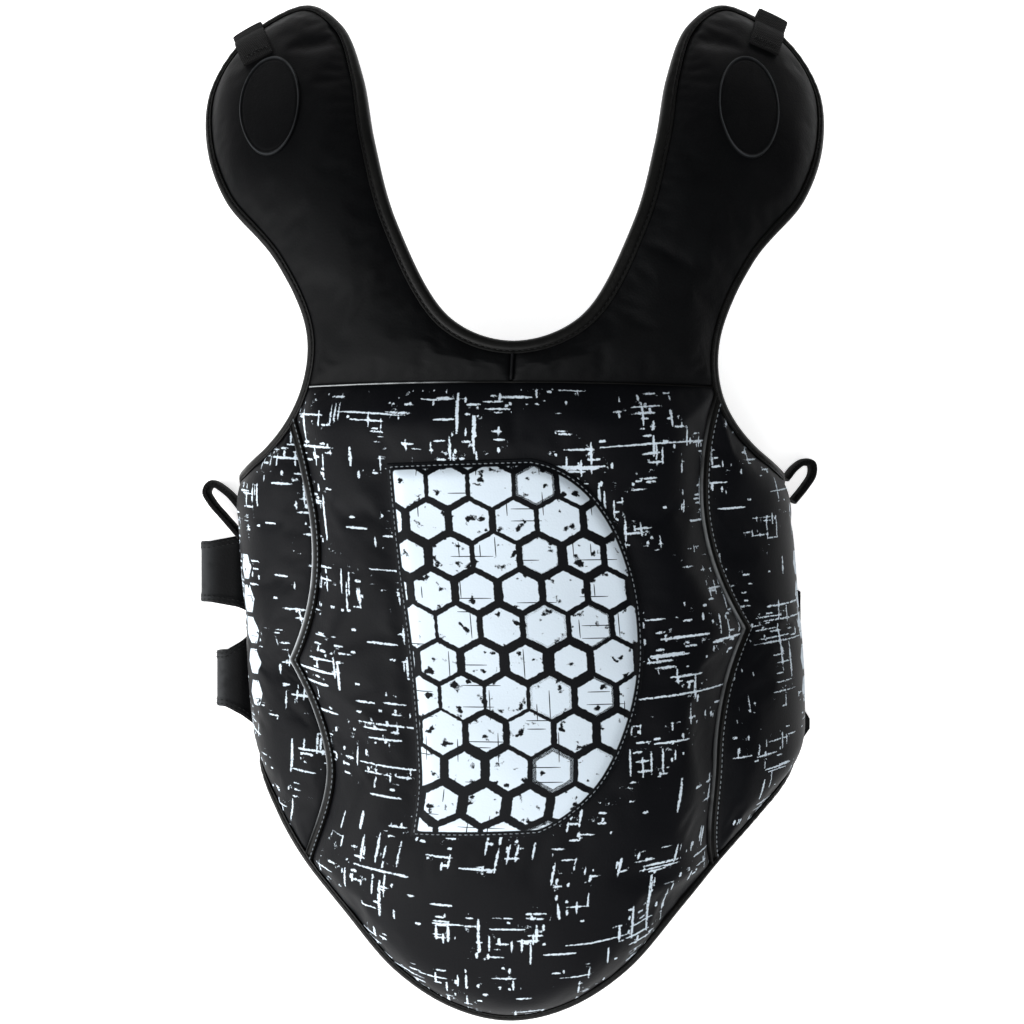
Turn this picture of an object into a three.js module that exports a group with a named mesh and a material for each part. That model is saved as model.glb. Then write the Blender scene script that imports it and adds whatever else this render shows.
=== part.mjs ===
// Padded chest protector for sparring, lying face up on its two rear edges.
// Millimetres, +Z up. +Y points to the shoulder flaps, +X to the right as seen from above.
// Flat pattern pieces (u across, v along) are wrapped onto one curled shell.
// The height off the shell's inner face is w.
import * as THREE from 'three';

const DEG = Math.PI / 180;

// The shell: one transverse section swept along a spine that droops at the flaps and at the hem.
const SHELL = {
  innerHeight: 130.9,
  chestRadius: 278,
  chestAngle: 38.2 * DEG,
  flankRadius: 52,
  flankAngle: 41 * DEG,
  flapFrom: 69,
  flapRadius: 398,
  hemFrom: -232,
  hemRadius: 444,
};

// How strongly the section curls, from the flaps down: less in the flaps, a little more below the armholes.
const CURL = [
  { v: 176, value: 0.45 },
  { v: -55, value: 0.985 },
  { v: -98, value: 1.035 },
];

// Sideways sway of the spine as the shell lies, from the flaps down.
const SWAY = [
  { v: 60, value: 0 },
  { v: -20, value: -3 },
  { v: -260, value: 10.5 },
  { v: -352, value: -2.3 },
  { v: -457, value: -2.8 },
];

// Padding thickness at the middle and at the sewn edge, and how far in the edge is pulled down.
const PADDING = {
  chest: { full: 20, edge: 8, soft: 34 },
  side: { full: 15.5, edge: 8, soft: 26 },
  yoke: { full: 15, edge: 8, soft: 24 },
};

// Grid of each padded panel, as [lines, share of the edge line].
const GRIDS = {
  chest: { across: [18, 0.025], down: [22, 0.02] },
  side: { across: [10, 0.05], down: [16, 0.03] },
  yoke: { across: [26, 0.015], down: [6, 0.07] },
  emblem: { across: [6, 0.06], down: [10, 0.03] },
};

const BINDING = { width: 6, gap: 0.8, top: 9.6, bottom: -0.8, round: 1.8, nose: 2.1, endGap: 0.1 };
const SEAM_GAP = 1.2;
const REAR_EDGE = 262;

// Puts the origin on the floor, below the middle of the whole.
const ORIGIN_SHIFT = { x: 3, y: 84 };

// Half of the finished outline, from the neck to the hem point.
const OUTLINE = [
  { row: 'neck_bottom', u: 0, v: 27 },
  { row: 'neck_curve', u: 43.5, v: 43.5 },
  { row: 'neck_side', u: 80, v: 109 },
  { row: 'neck_rise', u: 96, v: 168 },
  { row: 'flap_inner', u: 106, v: 222 },
  { row: 'flap_corner_in', u: 123, v: 271 },
  { row: 'flap_top', u: 152, v: 299 },
  { row: 'flap_corner_out', u: 194, v: 281 },
  { row: 'flap_outer', u: 222, v: 238 },
  { row: 'flap_side', u: 222.5, v: 190 },
  { row: 'armhole_flare', u: 204, v: 136 },
  { row: 'armhole_turn', u: 166.5, v: 87 },
  { row: 'armhole_waist', u: 144.5, v: 35 },
  { row: 'yoke_end', u: 148, v: 0 },
  { row: 'armhole_low', u: 166, v: -28 },
  { row: 'armhole_under', u: 204, v: -54 },
  { row: 'rear_turn', u: 246, v: -63.5 },
  { row: 'rear_top', u: REAR_EDGE, v: -82 },
  { row: 'rear_middle', u: REAR_EDGE, v: -165 },
  { row: 'rear_low', u: REAR_EDGE, v: -248 },
  { row: 'lower_turn', u: 246, v: -268 },
  { row: 'lower_side', u: 205, v: -292 },
  { row: 'lower_flank', u: 172, v: -324 },
  { row: 'hem_flank', u: 120.5, v: -375 },
  { row: 'hem_side', u: 80.5, v: -419 },
  { row: 'hem_low', u: 39.5, v: -445 },
  { row: 'hem_point', u: 0, v: -454 },
];
const STEPS_PER_ROW = 8;

// The bracket-shaped seam band: two curves that meet in an outward point.
const BAND = {
  width: 7,
  thickness: 8.6,
  upper: [[152, -12], [130, -83], [132.5, -130], [166.5, -181]],
  lower: [[166.5, -181], [133.5, -227], [125, -278], [150, -354]],
  steps: 11,
  reach: 30,
};

// Each side as it lies: the seam band sits lower on the left and higher on the right.
const SIDES = [
  { name: 'left', sign: -1, bandRise: -11, bandOut: 4 },
  { name: 'right', sign: 1, bandRise: 11, bandOut: -4 },
];

// Raised stitched pad on the chest: straight at the left, bowed out at the right.
const EMBLEM = {
  topLeft: [-80.5, -55],
  topRight: [12, -52.5],
  bottomRight: [10, -301],
  bottomLeft: [-71, -307],
  bowTop: [102, -68],
  bowBottom: [93, -262],
  bowSteps: 24,
  thickness: 3,
};

const WEBBING = { width: 22, thickness: 1.8, gap: 0.5 };

// Webbing folded over each flap tip: its front end, its lean, and how far its fold stands off the edge.
const TAB = { behind: 34, frontSteps: 9, foldSteps: 6 };
const TABS = [
  { side: 'left', sign: -1, u: 179, v: 242, lean: 20 * DEG, standOff: 0 },
  { side: 'right', sign: 1, u: 174, v: 250, lean: 17 * DEG, standOff: 8 },
];

// Oval patches below the webbing.
const PATCH = { halfWidth: 22, halfLength: 41, thickness: 1.6, steps: 6 };
const PATCHES = [
  { side: 'left', sign: -1, u: 168, v: 200.5, lean: 4 * DEG },
  { side: 'right', sign: 1, u: 160, v: 198, lean: 3 * DEG },
];

// Doubled loops standing on edge at the rear corners: their way in plan, [x, y].
const LOOP = { base: 3, height: 20, thickness: 4.6, steps: 20 };
const LOOPS = [
  {
    side: 'left',
    way: [
      [-209.5, -82], [-217, -73.5], [-229, -66.5], [-233.2, -72.5],
      [-229, -81], [-220, -91.5], [-209.5, -103.5],
    ],
  },
  {
    side: 'right',
    way: [
      [207.5, -60], [212, -54.5], [218.5, -50.3], [224.7, -51.5],
      [225.2, -59.5], [219.5, -69], [213, -77],
    ],
  },
];

// Leather straps: folded out at the left, flat and a little aslant under the body, narrowed at the right end.
const STRAP = {
  thickness: 2.4,
  foldGap: 3.6,
  foldSteps: 8,
  taper: 16,
  clear: 11,
};
const STRAPS = [
  {
    name: 'upper', y: -133, endY: -166, width: 46, rootWidth: 62, endWidth: 34,
    foldX: -239, rootX: -202.5, endFrom: 209, endX: 219,
  },
  {
    name: 'lower', y: -214, endY: -250, width: 42, rootWidth: 70, endWidth: 8,
    foldX: -227, rootX: -199.5, endFrom: 215, endX: 226,
  },
];

const LEATHER = { color: 0x17191b, roughness: 0.55, metalness: 0 };
const PRINTED_LEATHER = { color: 0x222528, roughness: 0.5, metalness: 0 };
const BOUND_EDGE = { color: 0x101112, roughness: 0.5, metalness: 0 };
const WEBBING_CLOTH = { color: 0x0c0c0d, roughness: 0.9, metalness: 0 };
const PALE_PRINT = { color: 0xd5e0e8, roughness: 0.5, metalness: 0 };

function smooth(value) {
  const t = THREE.MathUtils.clamp(value, 0, 1);
  return t * t * (3 - 2 * t);
}

// Value at v of rows that lead smoothly from one to the next.
function blended(rows, v) {
  const next = rows.findIndex((row) => v >= row.v);
  if (next === 0) return rows[0].value;
  if (next < 0) return rows[rows.length - 1].value;
  const [from, to] = rows.slice(next - 1, next + 1);
  return THREE.MathUtils.lerp(from.value, to.value, smooth((v - from.v) / (to.v - from.v)));
}

// Spine point and droop angle at pattern length v.
function spineAt(v) {
  const above = Math.max(v - SHELL.flapFrom, 0);
  const below = Math.min(v - SHELL.hemFrom, 0);
  const radius = above > 0 ? SHELL.flapRadius : SHELL.hemRadius;
  const angle = (above + below) / radius;
  const flat = v - above - below;
  return {
    x: blended(SWAY, v),
    y: flat + radius * Math.sin(angle),
    z: SHELL.innerHeight - radius * (1 - Math.cos(angle)),
    angle,
  };
}

// Half-width and drop of the section at arc length |u|: a wide arc, a tight arc, then a straight flank.
function sectionAt(u, curl) {
  let left = Math.abs(u);
  let angle = 0;
  let x = 0;
  let drop = 0;
  for (const [radius, sweep] of [
    [SHELL.chestRadius, SHELL.chestAngle],
    [SHELL.flankRadius, SHELL.flankAngle],
  ]) {
    const arc = Math.min(left, radius * sweep);
    const next = angle + (curl * arc) / radius;
    x += (radius / curl) * (Math.sin(next) - Math.sin(angle));
    drop += (radius / curl) * (Math.cos(angle) - Math.cos(next));
    angle = next;
    left -= arc;
  }
  x += left * Math.cos(angle);
  drop += left * Math.sin(angle);
  return { x: Math.sign(u) * x, drop };
}

function innerFace(u, v) {
  const spine = spineAt(v);
  const { x, drop } = sectionAt(u, blended(CURL, v));
  return new THREE.Vector3(
    spine.x + x,
    spine.y - drop * Math.sin(spine.angle),
    spine.z - drop * Math.cos(spine.angle),
  );
}

// Middle of a strap's run at x: level over the fold, then aslant to its far end.
function strapY({ y, endY, rootX, endX }, x) {
  const share = THREE.MathUtils.clamp((x - rootX) / (endX - rootX), 0, 1);
  return THREE.MathUtils.lerp(y, endY, share);
}

// The rear edges are pressed flat on the floor, and lifted where a strap runs under them.
function floorAt(x, y) {
  const onStrap = STRAPS.some((strap) => Math.abs(y - strapY(strap, x)) < strap.width / 2 + STRAP.clear);
  return onStrap ? STRAP.thickness + SEAM_GAP / 2 : 0;
}

// Point of the shell at pattern place (u, v) and height w.
const NORMAL_STEP = 0.05;
function place(u, v, w) {
  const across = innerFace(u + NORMAL_STEP, v).sub(innerFace(u - NORMAL_STEP, v));
  const along = innerFace(u, v + NORMAL_STEP).sub(innerFace(u, v - NORMAL_STEP));
  const normal = across.cross(along).normalize();
  const point = innerFace(u, v).addScaledVector(normal, w);
  point.z = Math.max(point.z, floorAt(point.x, point.y));
  return point;
}

// Paths are lists of [u, v].
function pathLength(path) {
  const lengths = [0];
  for (let i = 1; i < path.length; i += 1) {
    const [u0, v0] = path[i - 1];
    const [u1, v1] = path[i];
    lengths.push(lengths[i - 1] + Math.hypot(u1 - u0, v1 - v0));
  }
  return lengths;
}

function pointAt(path, position) {
  const index = Math.min(Math.floor(position), path.length - 2);
  const share = position - index;
  const [u0, v0] = path[index];
  const [u1, v1] = path[index + 1];
  return [u0 + (u1 - u0) * share, v0 + (v1 - v0) * share];
}

// Point at a share of the path's length.
function alongPath(path, lengths, share) {
  const target = share * lengths[lengths.length - 1];
  let index = 0;
  while (index < path.length - 2 && lengths[index + 1] < target) index += 1;
  const span = lengths[index + 1] - lengths[index];
  return pointAt(path, index + (span > 0 ? (target - lengths[index]) / span : 0));
}

function slice(path, from, to) {
  const [low, high] = from < to ? [from, to] : [to, from];
  const points = [pointAt(path, low)];
  for (let i = Math.floor(low) + 1; i < high; i += 1) points.push(path[i]);
  points.push(pointAt(path, high));
  return from < to ? points : points.reverse();
}

// Position on the path that is nearest to a point.
function nearest(path, [u, v]) {
  let best = { distance: Infinity, position: 0 };
  for (let i = 0; i < path.length - 1; i += 1) {
    const [u0, v0] = path[i];
    const [u1, v1] = path[i + 1];
    const square = (u1 - u0) ** 2 + (v1 - v0) ** 2 || 1;
    const share = THREE.MathUtils.clamp(((u - u0) * (u1 - u0) + (v - v0) * (v1 - v0)) / square, 0, 1);
    const distance = Math.hypot(u - u0 - (u1 - u0) * share, v - v0 - (v1 - v0) * share);
    if (distance < best.distance) best = { distance, position: i + share };
  }
  return best;
}

// Path moved to its right-hand side, with mitred corners. Its ends are open, or it closes on itself.
function offsetPath(path, distance, closed = false) {
  const count = path.length;
  return path.map((point, i) => {
    const before = i > 0 || closed ? path[(i - 1 + count) % count] : null;
    const after = i < count - 1 || closed ? path[(i + 1) % count] : null;
    const normals = [];
    for (const [from, to] of [[before, point], [point, after]]) {
      if (!from || !to) continue;
      const length = Math.hypot(to[0] - from[0], to[1] - from[1]);
      normals.push([(to[1] - from[1]) / length, (from[0] - to[0]) / length]);
    }
    const sum = normals.reduce((a, b) => [a[0] + b[0], a[1] + b[1]]);
    const size = Math.hypot(...sum);
    const unit = [sum[0] / size, sum[1] / size];
    const mitre = unit[0] * normals[0][0] + unit[1] * normals[0][1];
    return [point[0] + (unit[0] * distance) / mitre, point[1] + (unit[1] * distance) / mitre];
  });
}

// The half outline as a smooth curve, carried over the centre line at both ends so that it closes round.
function outlineHalf() {
  const rows = OUTLINE.map(({ u, v }) => new THREE.Vector3(u, v, 0));
  const across = ({ x, y }) => new THREE.Vector3(-x, y, 0);
  const carried = [across(rows[1]), ...rows, across(rows[rows.length - 2])];
  const curve = new THREE.CatmullRomCurve3(carried, false, 'centripetal');
  const points = curve.getPoints((carried.length - 1) * STEPS_PER_ROW).slice(STEPS_PER_ROW, -STEPS_PER_ROW);
  return points.map(({ x, y }) => [THREE.MathUtils.clamp(x, 0, REAR_EDGE), y]);
}

const rowAt = (name) => OUTLINE.findIndex(({ row }) => row === name) * STEPS_PER_ROW;
const mirror = (path, sign) => path.map(([u, v]) => [sign * u, v]);

const FINISHED = outlineHalf();
const HALF_COUNT = FINISHED.length - 1;

// The whole outline once round, from the hem point up the left, round the neck and down the right.
const ROUND = [...mirror(FINISHED, -1).reverse(), ...FINISHED.slice(1, -1)];

// Outline of the panels inside the binding, right half.
const CUT_ROUND = offsetPath(ROUND, BINDING.width + BINDING.gap, true);
const CUT = [...CUT_ROUND.slice(HALF_COUNT), CUT_ROUND[0]];

// Position on the cut line where it crosses a given v beside the yoke seam.
function cutAtV(v) {
  const [from, to] = [rowAt('armhole_waist'), rowAt('armhole_low')];
  for (let i = from; i < to; i += 1) {
    const [above, below] = [CUT[i][1], CUT[i + 1][1]];
    if (above >= v && below < v) return i + (above - v) / (above - below);
  }
  return rowAt('yoke_end');
}

// Closed solid from its points and triangles, turned so that its faces point out.
function solidFrom(points, faces) {
  const geometry = new THREE.BufferGeometry();
  const positions = new Float32Array(points.length * 3);
  points.forEach((point, i) => point.toArray(positions, i * 3));
  let volume = 0;
  for (const [a, b, c] of faces) {
    volume += points[a].dot(new THREE.Vector3().crossVectors(points[b], points[c]));
  }
  const outward = volume > 0 ? faces : faces.map(([a, b, c]) => [a, c, b]);
  geometry.setAttribute('position', new THREE.BufferAttribute(positions, 3));
  geometry.setIndex(outward.flat());
  geometry.computeVertexNormals();
  return geometry;
}

// A closed slab over a grid of pattern points, between two heights.
function slab(grid, lowAt, highAt) {
  const rows = grid.length;
  const cols = grid[0].length;
  const points = [];
  for (const heightAt of [lowAt, highAt]) {
    for (const line of grid) {
      for (const [u, v] of line) points.push(place(u, v, heightAt(u, v)));
    }
  }
  const at = (r, c, layer) => layer * rows * cols + r * cols + c;
  const faces = [];
  const quad = (a, b, c, d) => faces.push([a, b, c], [a, c, d]);
  for (let r = 0; r < rows - 1; r += 1) {
    for (let c = 0; c < cols - 1; c += 1) {
      quad(at(r, c, 1), at(r, c + 1, 1), at(r + 1, c + 1, 1), at(r + 1, c, 1));
      quad(at(r + 1, c, 0), at(r + 1, c + 1, 0), at(r, c + 1, 0), at(r, c, 0));
    }
  }
  for (let c = 0; c < cols - 1; c += 1) {
    quad(at(0, c, 0), at(0, c + 1, 0), at(0, c + 1, 1), at(0, c, 1));
    quad(at(rows - 1, c + 1, 0), at(rows - 1, c, 0), at(rows - 1, c, 1), at(rows - 1, c + 1, 1));
  }
  for (let r = 0; r < rows - 1; r += 1) {
    quad(at(r + 1, 0, 0), at(r, 0, 0), at(r, 0, 1), at(r + 1, 0, 1));
    quad(at(r, cols - 1, 0), at(r + 1, cols - 1, 0), at(r + 1, cols - 1, 1), at(r, cols - 1, 1));
  }
  return solidFrom(points, faces);
}

// A tube of equal rings with fan caps.
function tube(rings) {
  const sides = rings[0].length;
  const points = rings.flat();
  const faces = [];
  for (let r = 0; r < rings.length - 1; r += 1) {
    for (let k = 0; k < sides; k += 1) {
      const a = r * sides + k;
      const b = r * sides + ((k + 1) % sides);
      faces.push([a, b, b + sides], [a, b + sides, a + sides]);
    }
  }
  const end = (rings.length - 1) * sides;
  for (let k = 1; k < sides - 1; k += 1) {
    faces.push([0, k + 1, k], [end, end + k, end + k + 1]);
  }
  return solidFrom(points, faces);
}

// Grid lines: one close to each edge, one on each knot, the rest even between them.
function gridLines(count, edgeShare, knots = []) {
  const stops = [edgeShare, ...knots.toSorted((a, b) => a - b), 1 - edgeShare];
  const lines = [0];
  for (let k = 0; k < stops.length - 1; k += 1) {
    const span = stops[k + 1] - stops[k];
    const steps = Math.max(Math.round(count * span), 1);
    for (let i = 0; i < steps; i += 1) lines.push(stops[k] + (span * i) / steps);
  }
  return [...lines, 1 - edgeShare, 1];
}

// Share of the path's length at its point nearest to the given one.
function shareOf(path, point) {
  const lengths = pathLength(path);
  const { position } = nearest(path, point);
  const index = Math.min(Math.floor(position), path.length - 2);
  const length = THREE.MathUtils.lerp(lengths[index], lengths[index + 1], position - index);
  return length / lengths[lengths.length - 1];
}

// Four-sided patch spanned between its edge paths.
function coonsGrid({ bottom, top, left, right }, lines) {
  const sides = [bottom, top, left, right].map((path) => ({ path, lengths: pathLength(path) }));
  const on = (side, share) => alongPath(side.path, side.lengths, share);
  const [low, high, start, end] = sides;
  const corners = [on(low, 0), on(low, 1), on(high, 0), on(high, 1)];
  return lines.down.map((t) => lines.across.map((s) => [0, 1].map((k) => {
    const upward = (1 - t) * on(low, s)[k] + t * on(high, s)[k];
    const sideways = (1 - s) * on(start, t)[k] + s * on(end, t)[k];
    const bilinear = (1 - t) * ((1 - s) * corners[0][k] + s * corners[1][k])
      + t * ((1 - s) * corners[2][k] + s * corners[3][k]);
    return upward + sideways - bilinear;
  })));
}

// Thickness that rises from the sewn edge in a quarter round.
function crown(padding, edges) {
  return (u, v) => {
    const distance = Math.min(...edges.map((path) => nearest(path, [u, v]).distance));
    const share = Math.min(distance / padding.soft, 1);
    return padding.edge + (padding.full - padding.edge) * Math.sqrt(1 - (1 - share) ** 2);
  };
}

const onInnerFace = () => 0;

function paddedPanel(edges, padding, lines) {
  const heightAt = crown(padding, Object.values(edges));
  return { geometry: slab(coonsGrid(edges, lines), onInnerFace, heightAt), heightAt };
}

// Positions on a path where it crosses another.
function crossings(path, other) {
  const found = [];
  for (let i = 0; i < path.length - 1; i += 1) {
    for (let j = 0; j < other.length - 1; j += 1) {
      const [[pu, pv], [qu, qv], [ru, rv], [su, sv]] = [path[i], path[i + 1], other[j], other[j + 1]];
      const cross = (qu - pu) * (sv - rv) - (qv - pv) * (su - ru);
      const onPath = ((ru - pu) * (sv - rv) - (rv - pv) * (su - ru)) / cross;
      const onOther = ((ru - pu) * (qv - pv) - (rv - pv) * (qu - pu)) / cross;
      if (onPath >= 0 && onPath < 1 && onOther >= 0 && onOther < 1) found.push(i + onPath);
    }
  }
  return found;
}

function evenly(path, steps) {
  const lengths = pathLength(path);
  return Array.from({ length: steps + 1 }, (_, k) => alongPath(path, lengths, k / steps));
}

// Path with a straight stretch added at both ends.
function extended(path, reach) {
  const beyond = ([u0, v0], [u1, v1]) => {
    const length = Math.hypot(u1 - u0, v1 - v0);
    return [u1 + ((u1 - u0) * reach) / length, v1 + ((v1 - v0) * reach) / length];
  };
  const last = path.length - 1;
  return [beyond(path[1], path[0]), ...path, beyond(path[last - 1], path[last])];
}

// Seam band of one side, as paths on the positive half, from the armhole over the point to the hem.
function bandPaths({ bandRise, bandOut }) {
  const moved = [BAND.upper, BAND.lower].map((curve) => curve.map(
    ([u, v]) => new THREE.Vector2(u + bandOut, v + bandRise),
  ));
  const [upper, lower] = moved.map((curve) => new THREE.CubicBezierCurve(...curve).getPoints(BAND.steps));
  const line = extended([...upper, ...lower.slice(1)].map(({ x, y }) => [x, y]), BAND.reach);
  const point = upper.length;
  const shifted = (distance) => {
    const path = offsetPath(line, distance);
    const meets = crossings(path, CUT);
    const halves = [slice(path, meets[0], point), slice(path, point, meets[meets.length - 1])];
    const [above, below] = halves.map((half) => evenly(half, BAND.steps));
    return [...above, ...below.slice(1)];
  };
  const half = BAND.width / 2;
  return {
    inner: shifted(half),
    middle: shifted(0),
    outer: shifted(-half),
    chestEdge: shifted(half + SEAM_GAP),
    sideEdge: shifted(-half - SEAM_GAP),
  };
}

function yokeHalf({ sign }) {
  const seam = SEAM_GAP / 2;
  const neck = slice(CUT, nearest(CUT, [seam, CUT[0][1]]).position, rowAt('flap_corner_in'));
  const edges = {
    bottom: [[seam, seam], ...slice(CUT, cutAtV(seam), rowAt('flap_corner_out'))],
    top: neck,
    left: [[seam, seam], neck[0]],
    right: slice(CUT, rowAt('flap_corner_out'), rowAt('flap_corner_in')),
  };
  const placed = Object.fromEntries(Object.entries(edges).map(([key, path]) => [key, mirror(path, sign)]));
  const { across, down } = GRIDS.yoke;
  return paddedPanel(placed, PADDING.yoke, { across: gridLines(...across), down: gridLines(...down) });
}

function chestPanel(bands) {
  const seam = SEAM_GAP / 2;
  const [left, right] = SIDES.map(({ name, sign }) => {
    const { chestEdge } = bands[name];
    const meet = nearest(CUT, chestEdge[0]).position;
    const end = nearest(CUT, chestEdge[chestEdge.length - 1]).position;
    const flank = [...slice(CUT, cutAtV(-seam), meet), ...chestEdge.slice(1)];
    const [u, v] = chestEdge[BAND.steps];
    const upward = mirror(flank, sign).reverse();
    return {
      flank: upward,
      hem: mirror(slice(CUT, end, HALF_COUNT), sign),
      point: shareOf(upward, [sign * u, v]),
    };
  });
  const edges = {
    bottom: [...left.hem, ...right.hem.slice(0, -1).reverse()],
    top: [left.flank[left.flank.length - 1], [0, -seam], right.flank[right.flank.length - 1]],
    left: left.flank,
    right: right.flank,
  };
  const { across, down } = GRIDS.chest;
  return paddedPanel(edges, PADDING.chest, {
    across: gridLines(...across),
    down: gridLines(...down, [left.point, right.point]),
  });
}

function sidePanel({ name, sign }, bands) {
  const { sideEdge } = bands[name];
  const meet = nearest(CUT, sideEdge[0]).position;
  const end = nearest(CUT, sideEdge[sideEdge.length - 1]).position;
  const edges = {
    bottom: mirror(slice(CUT, end, rowAt('rear_low')), sign),
    top: mirror(slice(CUT, meet, rowAt('rear_top')), sign),
    left: mirror(sideEdge, sign).reverse(),
    right: mirror(slice(CUT, rowAt('rear_low'), rowAt('rear_top')), sign),
  };
  const [u, v] = sideEdge[BAND.steps];
  const { across, down } = GRIDS.side;
  return paddedPanel(edges, PADDING.side, {
    across: gridLines(...across),
    down: gridLines(...down, [shareOf(edges.left, [sign * u, v])]),
  });
}

function seamBand({ name, sign }, bands) {
  const { inner, middle, outer } = bands[name];
  const grid = inner.map((_, i) => mirror([inner[i], middle[i], outer[i]], sign));
  return slab(grid, onInnerFace, () => BAND.thickness);
}

// Section of the binding: flat against the panels, rounded outwards.
const BINDING_PROFILE = [
  { inset: BINDING.width, w: BINDING.bottom },
  { inset: BINDING.round, w: BINDING.bottom },
  { inset: 0, w: (BINDING.top + BINDING.bottom) / 2 - BINDING.nose },
  { inset: 0, w: (BINDING.top + BINDING.bottom) / 2 + BINDING.nose },
  { inset: BINDING.round, w: BINDING.top },
  { inset: BINDING.width, w: BINDING.top },
];

// Binding along the outline between two positions, which may run on past the hem point.
function binding(from, to, step) {
  const positions = [from + BINDING.endGap];
  for (let i = from + step; i < to; i += step) positions.push(i);
  positions.push(to - BINDING.endGap);
  const paths = BINDING_PROFILE.map(({ inset }) => {
    const path = offsetPath(ROUND, inset, true);
    return [...path, ...path];
  });
  return tube(positions.map((position) => BINDING_PROFILE.map(
    ({ w }, k) => place(...pointAt(paths[k], position), w),
  )));
}

function bindings() {
  const rearTop = rowAt('rear_top');
  const rearLow = rowAt('rear_low');
  const count = ROUND.length;
  const left = (index) => HALF_COUNT - index;
  const right = (index) => HALF_COUNT + index;
  return {
    binding_top: binding(left(rearTop), right(rearTop), 2),
    binding_side_left: binding(left(rearLow), left(rearTop), 1),
    binding_side_right: binding(right(rearTop), right(rearLow), 1),
    binding_hem: binding(right(rearLow), count + left(rearLow), 2),
  };
}

function emblemPad(chestHeightAt) {
  const { bottomRight, bowBottom, bowTop, topRight } = EMBLEM;
  const bow = [bottomRight, bowBottom, bowTop, topRight].map(([u, v]) => new THREE.Vector2(u, v));
  const edges = {
    bottom: [EMBLEM.bottomLeft, bottomRight],
    top: [EMBLEM.topLeft, topRight],
    left: [EMBLEM.bottomLeft, EMBLEM.topLeft],
    right: new THREE.CubicBezierCurve(...bow).getPoints(EMBLEM.bowSteps).map(({ x, y }) => [x, y]),
  };
  const { across, down } = GRIDS.emblem;
  const grid = coonsGrid(edges, { across: gridLines(...across), down: gridLines(...down) });
  const base = (u, v) => chestHeightAt(u, v) + SEAM_GAP;
  return slab(grid, base, (u, v) => base(u, v) + EMBLEM.thickness);
}

// Oval patch, spanned between the four quarters of its edge.
function ovalPatch({ sign, u, v, lean }, yokeHeightAt) {
  const even = Array.from({ length: PATCH.steps + 1 }, (_, k) => k / PATCH.steps);
  const quarter = (from, to) => even.map((share) => {
    const angle = THREE.MathUtils.lerp(from, to, share) * DEG;
    const across = PATCH.halfWidth * Math.cos(angle);
    const along = PATCH.halfLength * Math.sin(angle);
    const du = across * Math.cos(lean) + along * Math.sin(lean);
    const dv = along * Math.cos(lean) - across * Math.sin(lean);
    return [sign * (u + du), v + dv];
  });
  const edges = {
    bottom: quarter(225, 315),
    top: quarter(135, 45),
    left: quarter(225, 135),
    right: quarter(-45, 45),
  };
  const grid = coonsGrid(edges, { across: even, down: even });
  const base = (a, b) => yokeHeightAt(a, b) + SEAM_GAP / 2;
  return slab(grid, base, (a, b) => base(a, b) + PATCH.thickness);
}

// Webbing from the patch over the flap edge to its back: a path of [reach, w] with the webbing's width.
function shoulderTab({ sign, u, v, lean, standOff }, yokeHeightAt) {
  const at = (reach, across) => [
    sign * (u + reach * Math.sin(lean) + across * Math.cos(lean)),
    v + reach * Math.cos(lean) - across * Math.sin(lean),
  ];
  const outline = mirror(FINISHED, sign);
  let edge = 0;
  while (nearest(outline, at(edge, 0)).distance > WEBBING.gap) edge += WEBBING.gap;
  const lift = WEBBING.gap + WEBBING.thickness / 2;
  const front = BINDING.top + lift;
  const back = BINDING.bottom - lift;
  const turn = edge + standOff;
  const bound = edge - BINDING.width - BINDING.gap;
  const path = [];
  for (let k = 0; k <= TAB.frontSteps; k += 1) {
    const reach = (bound * k) / TAB.frontSteps;
    const under = [-1, 0, 1].map((side) => yokeHeightAt(...at(reach, (side * WEBBING.width) / 2)));
    path.push([reach, Math.max(...under, BINDING.top) + lift]);
  }
  for (let k = 0; k <= TAB.foldSteps; k += 1) {
    const angle = (k / TAB.foldSteps) * Math.PI;
    const radius = (front - back) / 2;
    path.push([turn + radius * Math.sin(angle), (front + back) / 2 + radius * Math.cos(angle)]);
  }
  path.push([edge - TAB.behind, back]);
  const half = WEBBING.thickness / 2;
  const [upper, lower] = [-half, half].map((distance) => offsetPath(path, distance));
  const corner = ([reach, w], across) => place(...at(reach, across), w);
  const side = WEBBING.width / 2;
  return tube(path.map((_, i) => [
    corner(upper[i], -side),
    corner(upper[i], side),
    corner(lower[i], side),
    corner(lower[i], -side),
  ]));
}

// Loop on edge: its way in plan, raised by its height.
function sideLoop({ way }) {
  const stops = way.map(([x, y]) => new THREE.Vector3(x, y, 0));
  const curve = new THREE.CatmullRomCurve3(stops, false, 'centripetal');
  const path = curve.getPoints(LOOP.steps).map(({ x, y }) => [x, y]);
  const half = LOOP.thickness / 2;
  const [outer, inner] = [-half, half].map((distance) => offsetPath(path, distance));
  const corner = ([x, y], z) => new THREE.Vector3(x, y, z);
  const top = LOOP.base + LOOP.height;
  return tube(path.map((_, i) => [
    corner(outer[i], LOOP.base),
    corner(outer[i], top),
    corner(inner[i], top),
    corner(inner[i], LOOP.base),
  ]));
}

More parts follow.
